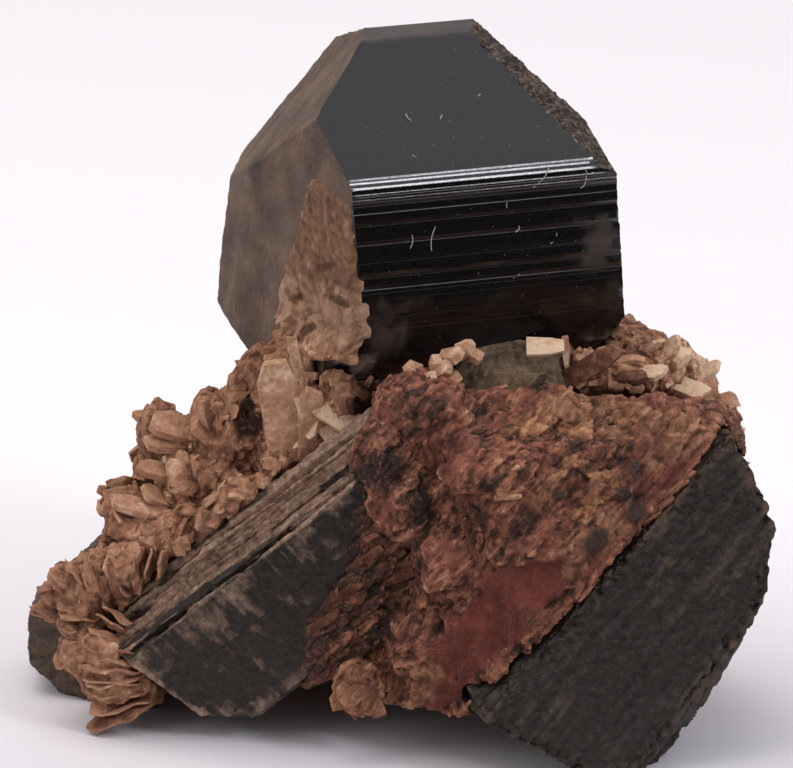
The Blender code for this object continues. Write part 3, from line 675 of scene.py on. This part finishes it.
def shard(bm, root, out, flat, length, width, thickness, base_tone):
    """A cleavage fragment: a thin leaf with a broken outline, thinner at its tip."""
    tone = bm.verts.layers.float["tone"]
    out = out.normalized()
    flat = (flat - out * flat.dot(out)).normalized()
    side = out.cross(flat)
    outline = [(x + rng.uniform(-0.12, 0.12), y * rng.uniform(0.75, 1.15))
        for x, y in SHARD_OUTLINE]
    rings = []
    for level in (-0.5, 0.5):
        ring = []
        for x, y in outline:
            place = out * length * x + side * width * 0.5 * y
            made = bm.verts.new(root + place + flat * thickness * level * (1.0 - 0.3 * x))
            made.co.z = max(made.co.z, 0.0)
            # Painted light: the colour runs paler toward the tip, as where light catches the thin
            # end.
            made[tone] = clamp(base_tone + 0.14 * x)
            ring.append(made)
        rings.append(ring)
    under, over = rings
    bm.faces.new(under[::-1])
    bm.faces.new(over)
    for index in range(len(under)):
        after = (index + 1) % len(under)
        bm.faces.new((under[index], under[after], over[after], over[index]))
    return under + over


def stray(most):
    """A random vector, its parts up to so large."""
    return Vector([rng.uniform(-most, most) for _ in range(3)])


def fuse(bm, leaves):
    """Add loose fragments to a rock's mesh."""
    bmesh.ops.recalc_face_normals(leaves, faces=leaves.faces[:])
    mesh = bpy.data.meshes.new("fragments")
    leaves.to_mesh(mesh)
    leaves.free()
    bm.from_mesh(mesh)
    bpy.data.meshes.remove(mesh)


def curved_leaf(bm, root, out, flat, length, width, thickness, curl, base_tone, seed):
    """A thin wavy feldspar blade with a rounded, ragged end."""
    tone = bm.verts.layers.float["tone"]
    rows, columns = 9, 6
    out = out.normalized()
    flat = (flat - out * flat.dot(out)).normalized()
    side = out.cross(flat)
    sheets = []
    for level in (-0.5, 0.5):
        sheet = []
        for i in range(rows + 1):
            t = i / rows
            for j in range(columns + 1):
                v = 2.0 * j / columns - 1.0
                reach = 1.0 - 0.28 * v * v + 0.16 * noise.noise(Vector((v * 2.0, seed, 0.5)))
                spread = 0.72 + 0.28 * sin(pi * min(1.0, t * 1.2))
                spread += 0.10 * noise.noise(Vector((t * 3.0, seed, v)))
                wave = 0.15 * width * noise.noise(Vector((t * 1.6 + seed, v * 1.4, 3.0)))
                thin = 1.0 - 0.6 * max(abs(v), t) ** 4
                lift = curl * t * t * length + wave + thickness * level * thin
                made = bm.verts.new(root + out * length * t * reach
                    + side * width * 0.5 * v * spread + flat * lift)
                made.co.z = max(made.co.z, 0.0)
                # Painted light: paler toward the tip and the rims, as where light catches the thin
                # blade.
                made[tone] = clamp(base_tone + 0.16 * t + 0.06 * abs(v) ** 3)
                sheet.append(made)
        sheets.append(sheet)
    under, over = sheets
    across = columns + 1
    for i in range(rows):
        for j in range(columns):
            a, b = i * across + j, (i + 1) * across + j
            bm.faces.new((under[a], under[a + 1], under[b + 1], under[b]))
            bm.faces.new((over[a], over[b], over[b + 1], over[a + 1]))
    rim = list(range(across)) + [i * across + columns for i in range(1, rows + 1)]
    rim += [rows * across + j for j in range(columns - 1, -1, -1)]
    rim += [i * across for i in range(rows - 1, 0, -1)]
    for index, a in enumerate(rim):
        b = rim[(index + 1) % len(rim)]
        bm.faces.new((under[b], under[a], over[a], over[b]))


TAN_VOXEL = 0.33
TAN_PALE = [(-2.7, -2.0, 1.5, 0.9, -15), (-6.4, -0.5, 1.2, 3.2, -15), (1.9, 1.0, 1.4, 0.9, 0),
    (3.6, 2.1, 1.1, 0.5, 15), (17.5, 1.2, 2.6, 1.2, -25), (-5.5, -1.2, 0.8, 2.0, -20)]
# Dark patches: painted shadow under the main crystal's overhang, and some dark spots on the rock.
TAN_SHADOW_AND_DARK = [(-1.5, -0.3, 1.2, 2.2, 10), (-9.0, -2.0, 1.1, 1.1, 0), (12.4, -0.3, 1.4, 0.6, 0),
    (10.4, 1.1, 0.5, 0.9, 0), (7.0, 0.2, 2.6, 0.8, 0), (-4.9, 7.2, 0.6, 0.25, 10),
    (-6.6, 5.4, 0.5, 0.4, 0), (-4.2, 5.2, 0.8, 0.3, -30), (-5.6, 3.6, 0.5, 0.4, 20)]
CRUST_LOWEST = 23.6          # height above which the feldspar is a crust on the crystal
CRUST_SHIFT = Vector((0.75, 0.25, 0.0))      # seats the crust against the crystal
TAN_SHARDS = 800

bm = rock_copy("feldspar_matrix", TAN_VOXEL)
tone, crust = bm.verts.layers.float.new("tone"), bm.verts.layers.float.new("crust")
bm.normal_update()
for vert in bm.verts:
    facet, _ = fragments(vert.co, 2.1, (1.0, 1.0, 0.75))
    small_facet, small_height = fragments(vert.co, 0.8, (1.0, 1.0, 0.8))
    grain = noise.fractal(vert.co * 1.8, 0.7, 2.1, 4)
    on_crust = clamp((vert.co.z - CRUST_LOWEST) / 1.5) if vert.co.x < 2.0 else 0.0
    calm = 1.0 - 0.85 * on_crust * clamp((vert.co.z - 26.5) / 2.5)
    if vert.co.x < -13.5 and vert.co.z < 10.5:          # the blade fans have their own shape
        calm = 0.35
    relief = calm * (0.55 * facet + 0.22 * small_facet) + 0.06 * grain
    if on_crust:
        relief = max(relief, -0.1)
    # The tone carries painted shade: raised facets come out lighter and sunk ones darker, besides
    # the random tone.
    shade = 0.50 + 0.16 * facet + 0.12 * small_height + 0.20 * grain
    if vert.normal.y < 0.4:
        shade += 0.30 * patch(vert.co, TAN_PALE) - 0.55 * patch(vert.co, TAN_SHADOW_AND_DARK)
    vert[tone] = clamp(shade + on_crust * 0.35 * clamp((28.5 - vert.co.z) / 2.0))
    vert[crust] = on_crust
    vert.co += vert.normal * (0.12 + relief) + CRUST_SHIFT * on_crust
    vert.co.z = max(vert.co.z, 0.0)

# Loose fragments grow on the front and upper sides, apart from where the blade fans are.
grown = [vert for vert in bm.verts if vert[crust] < 0.2 and vert.co.z > 0.6
    and (vert.normal.y < 0.35 or vert.normal.z > 0.3)
    and not (vert.co.x < -12.5 and vert.co.z < 8.5)]
leaves = bmesh.new()
for name in ("tone", "crust"):
    leaves.verts.layers.float.new(name)
for vert in rng.sample(grown, TAN_SHARDS):
    out = noise.noise_vector(vert.co * 0.22) * 1.5 + stray(0.3)
    out -= vert.normal * (out.dot(vert.normal) - rng.uniform(0.0, 0.5))
    flat = noise.noise_vector(vert.co * 0.3 + Vector((4, 8, 2))) + stray(0.15)
    flat += vert.normal * 0.25
    size = 0.25 + 1.1 * rng.random() ** 2.5
    shard(leaves, vert.co - vert.normal * 0.35 * size, out, flat, size,
        size * rng.uniform(0.8, 1.5), size * rng.uniform(0.25, 0.6),
        vert[tone] + rng.uniform(-0.16, 0.0))

# root, direction, stacking direction, count, pitch, fan angle, length, width, thickness
LEAF_FANS = [
    ((-17.0, -2.9, 8.6), (-45, 55), (80, 0), 7, 0.56, 46, 2.6, 2.4, 0.30),
    ((-18.2, -3.3, 6.8), (-60, 5), (-30, 80), 6, 0.56, 62, 2.5, 2.4, 0.30),
    ((-15.4, -4.2, 3.6), (-62, -4), (0, 84), 8, 0.50, 24, 3.6, 3.8, 0.30),
    ((-18.6, -2.5, 7.6), (-80, 12), (-20, 50), 5, 0.5, 40, 2.9, 2.1, 0.30),
    ((-15.2, -3.6, 9.8), (-20, 60), (60, 10), 5, 0.6, 40, 2.0, 2.0, 0.30),
    ((-16.8, -4.2, 5.6), (-50, 15), (10, 75), 6, 0.52, 50, 2.4, 2.2, 0.28),
]
for fan, (root, out, row, count, pitch, spread, length, width, thickness) in enumerate(LEAF_FANS):
    middle, stacked = direction(*out), direction(*row)
    stacked = (stacked - middle * stacked.dot(middle)).normalized()
    hinge = middle.cross(stacked)
    for index in range(count):
        share = index / (count - 1.0) - 0.5
        turn = Matrix.Rotation(radians(share * spread + rng.uniform(-6, 6)), 3, hinge)
        curved_leaf(leaves, Vector(root) + stacked * share * (count - 1) * pitch, turn @ middle,
            turn @ stacked, length * rng.uniform(0.82, 1.1), width * rng.uniform(0.8, 1.1),
            thickness * rng.uniform(0.8, 1.3), rng.uniform(-0.12, 0.12),
            0.38 + rng.uniform(-0.08, 0.1), 10.0 * fan + index)

# Larger blades and chips, each at its own place: right of and above the aim, its root's depth (or
# none, for on the surface), the way it points, its flat side, length, width, thickness and tone.
LARGE_BLADES = [
    (1.0, 1.1, -8.3, (-60, 30), (0, 60), 0.7, 0.9, 0.75, 0.62),
    (1.8, 0.7, -8.5, (20, 20), (0, 70), 0.7, 1.0, 0.7, 0.70),
    (2.6, 1.1, -8.4, (70, 40), (-30, 30), 0.7, 0.9, 0.8, 0.60),
    (1.5, 0.2, -8.6, (-20, -10), (0, 60), 0.7, 0.9, 0.7, 0.56),
    (2.3, 1.5, -8.2, (10, 70), (-80, 0), 0.5, 0.8, 0.7, 0.66),
    (3.2, 0.6, -8.3, (40, 10), (0, 50), 0.6, 0.9, 0.7, 0.52),
    (0.6, 0.4, -8.2, (-30, 30), (0, 50), 0.6, 0.8, 0.6, 0.55),
    (3.1, 1.9, -7.9, (60, 20), (-10, 60), 0.8, 0.9, 0.7, 0.66),
    (3.9, 2.3, -7.5, (80, 30), (0, 60), 0.7, 0.8, 0.7, 0.68),
    (4.5, 2.0, -7.5, (90, -20), (10, 50), 0.6, 0.8, 0.6, 0.60),
    (8.3, 2.5, -5.9, (85, 4), (-5, 40), 1.5, 1.3, 0.28, 1.00),
    (10.0, 2.4, -4.6, (30, -75), (75, 0), 1.4, 0.8, 0.3, 0.70),
    (-12.6, -2.5, None, (-82, 22), (-10, 55), 2.4, 1.8, 0.7, 0.50),
    (-13.3, -3.2, None, (-75, 5), (-20, 60), 2.0, 1.6, 0.6, 0.42),
    (-11.4, -2.2, None, (-40, 72), (60, 10), 1.9, 1.3, 0.6, 0.52),
    (-14.0, -5.0, None, (-70, 20), (0, 65), 2.0, 1.5, 0.5, 0.45),
    (-15.0, -7.2, None, (-80, 20), (0, 70), 2.3, 1.6, 0.5, 0.55),
    (-14.0, -6.6, None, (-60, 30), (20, 60), 1.8, 1.5, 0.5, 0.50),
    (-6.7, -3.3, None, (-30, 80), (5, 5), 5.4, 2.3, 0.9, 0.56),
    (-5.2, -3.8, None, (20, 76), (15, 0), 4.0, 1.5, 0.6, 0.50),
    (-6.0, 1.4, None, (25, -68), (0, 20), 3.2, 0.9, 0.3, 0.85),
    (-3.9, -1.3, None, (60, -20), (-10, 40), 2.0, 1.7, 0.4, 0.92),
    (-4.3, -2.3, None, (50, -40), (0, 30), 1.8, 1.3, 0.4, 0.75),
    (14.5, 1.0, None, (70, 10), (0, 60), 1.8, 1.2, 0.4, 0.75),
    (13.2, 0.7, None, (80, 6), (0, 60), 1.8, 0.8, 0.5, 0.06),
    (17.0, 0.2, None, (80, -20), (0, 55), 1.6, 1.4, 0.5, 0.85),
    (18.4, 1.0, None, (60, 30), (-20, 50), 1.4, 1.1, 0.4, 0.90),
    (16.0, 2.2, None, (40, 40), (-30, 40), 1.6, 1.2, 0.4, 0.70),
    (10.6, 0.9, None, (66, 34), (-20, 10), 3.3, 1.3, 0.7, 0.10),
]
rock_tree = BVHTree.FromBMesh(bm)
for right, above, y, out, flat, length, width, thickness, base_tone in LARGE_BLADES:
    if y is None:
        root, normal = surface_at(rock_tree, right, above)
        root = root - normal * 0.25 * thickness
    else:
        rise = (above - (y - AIM.y) * sin(drop)) / cos(drop)
        root = Vector((AIM.x + right, y, AIM.z + rise))
    shard(leaves, root, direction(*out), direction(*flat), length, width, thickness, base_tone)
fuse(bm, leaves)

tan_rock, add = blank_material("feldspar_tan")
place = add("TexCoord").outputs["Object"]
fine_grain = add("TexNoise", {"Vector": place, "Scale": 2200.0, "Detail": 5.0, "Roughness": 0.65})
broad = add("TexNoise", {"Vector": place, "Scale": 420.0, "Detail": 5.0, "Roughness": 0.6})
tone_value = add("Attribute", attribute_name="tone").outputs["Fac"]
crust_value = add("Attribute", attribute_name="crust").outputs["Fac"]
shift = add("Math", (fine_grain, 0.5), operation="SUBTRACT")
mixed = add("Math", (shift, 0.9, tone_value), operation="MULTIPLY_ADD")
shift_broad = add("Math", (broad, 0.5), operation="SUBTRACT")
mixed_broad = add("Math", (shift_broad, 0.8, mixed), operation="MULTIPLY_ADD")
# Painted shade and highlight: by the mesh's pointiness, hollows come out darker and sharp edges a
# little lighter.
edges = add("MapRange", (add("NewGeometry").outputs["Pointiness"], 0.42, 0.58, -0.28, 0.07))
mixed_broad = add("Math", (mixed_broad, edges), operation="ADD")
rock_tint = add("ValToRGB", [mixed_broad],
    stops=[(0.0, "#332016"), (0.25, "#664535"), (0.5, "#986d53"), (0.75, "#b78c70"),
        (1.0, "#dcbf9f")])
crust_tint = add("ValToRGB", [mixed_broad],
    stops=[(0.1, "#543c2a"), (0.5, "#7f5f49"), (0.85, "#a5826a")])
colour = add("MixRGB", (crust_value, rock_tint, crust_tint))
relief = add("Bump", {"Height": fine_grain, "Strength": 0.9, "Distance": 0.00026})
shader = add("BsdfPrincipled", {"Base Color": colour, "Roughness": 0.85,
    "Specular IOR Level": 0.2, "Normal": relief})
add("OutputMaterial", [shader])
finish_piece("bladed_matrix", bm, "feldspar_matrix", [tan_rock], smooth=28)

# ----------------------------------------
# Red feldspar: a fractured mass between the two broken crystals. Flat crimson cleavage faces show
# among red-brown splinters that run up to the right; dark dirt lies in patches, its cracks and
# hollows are painted darker as painted shade, and a few glassy brown grains sit in it.
RED_VOXEL = 0.29
FABRIC = Vector((0.65, 0.33, 0.68)).normalized()       # the way its splinters run
RED_SHARDS = 600
RED_CRIMSON = [(5.4, -13.9, 6.0, 1.9, 46), (7.6, -11.4, 2.9, 1.7, 20), (3.4, -17.0, 2.6, 1.0, 50)]
RED_SALMON = [(15.2, -4.4, 2.6, 1.5, 42), (11.4, -9.8, 1.6, 0.7, 45), (2.7, -3.4, 1.8, 1.5, 40)]
RED_DARK = [(-1.0, -4.7, 2.6, 1.5, 35), (-1.5, -13.6, 3.2, 2.2, 45), (1.2, -6.8, 1.0, 2.0, 20)]
RED_OLIVE = [(7.7, -2.1, 1.6, 1.0, 10), (10.6, -2.6, 1.2, 0.6, 0), (9.0, -5.5, 2.0, 0.8, 40),
    (11.6, -6.2, 2.0, 0.9, 50), (14.6, -9.0, 1.8, 0.4, 45)]
RED_ORANGE = [(6.4, -17.8, 1.7, 1.9, 20), (0.6, -17.6, 3.4, 1.6, 30), (-3.0, -16.5, 2.2, 1.4, 0),
    (13.0, -1.6, 6.0, 1.3, -8), (16.5, -2.8, 3.0, 1.2, 40), (12.0, -8.6, 3.2, 1.0, 45)]
GRAINS = [(13.9, -4.8, 0.45, 0.7, 0), (13.2, -6.1, 0.5, 0.5, 0), (11.6, -8.9, 0.7, 1.0, -40),
    (14.0, -7.2, 0.6, 0.8, -40), (5.1, -7.4, 0.5, 0.3, 20), (9.4, -6.2, 0.5, 0.3, 0)]

bm = rock_copy("red_feldspar", RED_VOXEL)
names = ("tone", "crimson", "dirt", "olive", "orange", "grain")
tone, crimson, dirt, olive, orange, grain_layer = map(bm.verts.layers.float.new, names)
bm.normal_update()
across = FABRIC.cross(Vector((0, -1, 0))).normalized()
third = FABRIC.cross(across)
for vert in bm.verts:
    along_fabric = Vector((vert.co.dot(FABRIC), vert.co.dot(across), vert.co.dot(third)))
    flat_red = patch(vert.co, RED_CRIMSON, 0.25, 7.0)
    salmon = 0.5 * patch(vert.co, RED_SALMON, 0.3, 6.0)
    facet, _ = fragments(along_fabric, 1.1, (0.32, 1.0, 1.0))
    small_facet, small_height = fragments(along_fabric, 0.5, (0.4, 1.0, 1.0))
    fine = noise.fractal(along_fabric * 1.5, 0.7, 2.1, 4)
    ragged = 1.0 - 0.8 * max(flat_red, salmon)
    relief = ragged * (0.30 * facet + 0.16 * small_facet) + 0.07 * fine
    vert[crimson] = max(flat_red, salmon)
    vert[dirt] = patch(vert.co, RED_DARK, 0.5, 2.0) * (1.0 - flat_red)
    vert[olive] = patch(vert.co, RED_OLIVE, 0.6)
    vert[orange] = patch(vert.co, RED_ORANGE, 0.5)
    vert[grain_layer] = patch(vert.co, GRAINS, 0.1)
    # The tone carries painted shade: raised facets come out lighter and sunk ones darker, besides
    # the random tone.
    vert[tone] = clamp(0.5 + 0.35 * facet + 0.18 * small_height + 0.25 * fine
        + 0.12 * vert[orange])
    vert.co += vert.normal * (0.10 + relief + 0.15 * vert[grain_layer])
    vert.co.z = max(vert.co.z, 0.0)

grown = [vert for vert in bm.verts if vert[crimson] < 0.3 and vert[grain_layer] < 0.2
    and (vert.normal.y < 0.2 or vert.normal.z > 0.4)]
leaves = bmesh.new()
loose = {name: leaves.verts.layers.float.new(name) for name in names}
for vert in rng.sample(grown, RED_SHARDS):
    out = FABRIC + stray(0.25)
    out -= vert.normal * (out.dot(vert.normal) - rng.uniform(-0.1, 0.25))
    flat = vert.normal + noise.noise_vector(vert.co * 0.5) * 0.4
    size = 0.2 + 0.9 * rng.random() ** 3
    for made in shard(leaves, vert.co - vert.normal * 0.08, out, flat, size,
            size * rng.uniform(0.2, 0.6), rng.uniform(0.12, 0.26),
            vert[tone] + rng.uniform(-0.3, 0.0)):
        for name, layer in zip(names[1:], (crimson, dirt, olive, orange, grain_layer)):
            made[loose[name]] = vert[layer]

# Dark dirty splinters spread over the lower right end of the leaning prism, and more along the
# contact with the broken crystal. The outline and the line are places right of and above the aim.
PRISM_COVER = [(-1.4, -5.2), (-0.4, -8.2), (0.9, -13.2), (-3.8, -16.6), (-5.2, -17.8),
    (-5.0, -13.8), (-2.6, -10.4), (-1.8, -7.4)]
CONTACT = [(19.8, -2.8), (16.4, -6.4), (12.0, -11.2), (9.2, -15.2), (6.8, -17.3), (5.4, -18.6)]
LOW_CHUNKS = [               # right of and above the aim, the way it points, length, width, tone
    (-2.4, -17.5, (-60, -40), 1.5, 1.5, 0.45), (-1.5, -17.9, (-20, -60), 1.3, 1.3, 0.35),
    (-2.9, -18.2, (-80, -20), 1.1, 1.2, 0.55), (-1.4, -18.6, (40, -50), 1.1, 1.1, 0.40),
    (-2.2, -18.5, (-50, -70), 1.0, 1.4, 0.50), (-2.1, -17.0, (-50, 30), 1.2, 1.2, 0.40),
]
SPLINTERS_ON_PRISM = 520
SPLINTERS_AT_CONTACT = 260


def inside(outline, x, y):
    """Whether a place is inside an outline."""
    crossed = False
    for (x1, y1), (x2, y2) in zip(outline, outline[1:] + outline[:1]):
        if (y1 > y) != (y2 > y) and x < x1 + (y - y1) * (x2 - x1) / (y2 - y1):
            crossed = not crossed
    return crossed


def splinter(root, normal, longest, base_tone, dirty, rusty):
    """One splinter of the red feldspar that lies nearly flat on a surface."""
    out = FABRIC + stray(0.25)
    out -= normal * (out.dot(normal) - rng.uniform(-0.05, 0.3))
    size = longest * (0.2 + 0.8 * rng.random() ** 2)
    flat = normal + noise.noise_vector(root * 0.7) * 0.8
    for made in shard(leaves, root, out, flat, size, size * rng.uniform(0.2, 0.4),
            size * rng.uniform(0.12, 0.35), base_tone):
        made[loose["dirt"]] = dirty
        made[loose["orange"]] = rusty


planted = 0
while planted < SPLINTERS_ON_PRISM:
    right, above = rng.uniform(-5.6, 1.2), rng.uniform(-18.2, -5.0)
    if not inside(PRISM_COVER, right, above):
        continue
    planted += 1
    start = AIM + Vector((right, above * sin(drop), above * cos(drop)))
    reach = (start - FRONT_ORIGIN).dot(lower_side) / towards_camera.dot(lower_side)
    splinter(start - towards_camera * reach, lower_side, 2.2, rng.uniform(0.0, 0.45),
        clamp(rng.uniform(-0.2, 1.0)), rng.uniform(0.2, 0.9))
red_tree = BVHTree.FromBMesh(bm)
for _ in range(SPLINTERS_AT_CONTACT):
    leg = rng.randrange(len(CONTACT) - 1)
    share = rng.random()
    right = CONTACT[leg][0] * (1 - share) + CONTACT[leg + 1][0] * share + rng.uniform(-0.55, 0.15)
    above = CONTACT[leg][1] * (1 - share) + CONTACT[leg + 1][1] * share + rng.uniform(-0.15, 0.3)
    root, normal = surface_at(red_tree, right, above)
    if root:
        splinter(root + normal * 0.1, normal, 1.0, rng.uniform(0.25, 0.6),
            clamp(rng.uniform(-0.3, 0.5)), rng.uniform(0.2, 0.9))
for right, above, out, length, width, base_tone in LOW_CHUNKS:
    root, normal = surface_at(red_tree, right, above)
    for made in shard(leaves, root - normal * 0.2, direction(*out), normal, length, width, 0.7,
            base_tone):
        made[loose["orange"]] = 0.9
fuse(bm, leaves)

red_rock, add = blank_material("feldspar_red")
place = add("TexCoord").outputs["Object"]
fine_grain = add("TexNoise", {"Vector": place, "Scale": 2300.0, "Detail": 5.0, "Roughness": 0.7})
broad = add("TexNoise", {"Vector": place, "Scale": 520.0, "Detail": 6.0, "Roughness": 0.62})
values = {n: add("Attribute", attribute_name=n).outputs["Fac"] for n in names}
fabric_turn = Matrix((FABRIC, across, third)).to_euler()
turned = add("Mapping", {"Vector": place, "Rotation": tuple(fabric_turn)})
drawn_out = add("Mapping", {"Vector": turned, "Scale": (350.0, 2600.0, 2600.0)})
fibres = add("TexNoise", {"Vector": drawn_out, "Scale": 1.0, "Detail": 5.0, "Roughness": 0.7})
# Painted shade: by the mesh's pointiness, hollows and cracks come out darker.
edges = add("MapRange", (add("NewGeometry").outputs["Pointiness"], 0.42, 0.58, -0.28, 0.02))
shift = add("Math", (fine_grain, fibres), operation="ADD")
shift = add("Math", (shift, 1.0), operation="SUBTRACT")
mixed = add("Math", (shift, 1.3, values["tone"]), operation="MULTIPLY_ADD")
mixed = add("Math", (mixed, edges), operation="ADD")
splinter_tint = add("ValToRGB", [mixed],
    stops=[(0.05, "#24170f"), (0.35, "#5c3828"), (0.6, "#8b5843"), (0.85, "#b0805f"),
        (1.0, "#c6a07e")])
cleavage_tint = add("ValToRGB", [broad],
    stops=[(0.3, "#441a13"), (0.5, "#612a20"), (0.68, "#7a3d2e")])
warped = add("MixRGB", (0.35, drawn_out, broad.outputs["Color"]), blend_type="ADD")
cracks = add("TexVoronoi", {"Vector": warped, "Scale": 0.42}, feature="DISTANCE_TO_EDGE")
crack = add("MapRange", (cracks, 0.0, 0.035, 0.16, 0.0))
cleavage = add("MixRGB", (crack, cleavage_tint, "#94705c"))
olive_tint = add("ValToRGB", [mixed], stops=[(0.1, "#4c3021"), (0.5, "#936245"), (0.9, "#bd9062")])
orange_tint = add("ValToRGB", [mixed],
    stops=[(0.1, "#442a1d"), (0.5, "#80563e"), (0.9, "#aa7c5c")])
streaks = add("MapRange", (broad, 0.5, 0.62, 0.0, 0.45))
colour = add("MixRGB", (streaks, splinter_tint, "#8a4f3d"))
for label, tint, strength in (("crimson", cleavage, 0.95), ("olive", olive_tint, 0.8),
        ("orange", orange_tint, 0.85)):
    amount = add("Math", (values[label], strength), operation="MULTIPLY")
    colour = add("MixRGB", (amount, colour, tint))
speckle = add("Math", (values["dirt"], 0.2, fine_grain), operation="MULTIPLY_ADD")
grime = add("MapRange", (speckle, 0.60, 0.70))
colour = add("MixRGB", (grime, colour, "#2c1f17"))
colour = add("MixRGB", (values["grain"], colour, "#3a2a20"))
matt = add("MapRange", (values["grain"], 0.0, 1.0, 0.72, 0.18))
relief = add("Bump", {"Height": shift, "Strength": 0.9, "Distance": 0.00018})
shader = add("BsdfPrincipled", {"Base Color": colour, "Roughness": matt,
    "Specular IOR Level": 0.3, "Normal": relief})
add("OutputMaterial", [shader])
finish_piece("fractured_mass", bm, "red_feldspar", [red_rock], smooth=28)
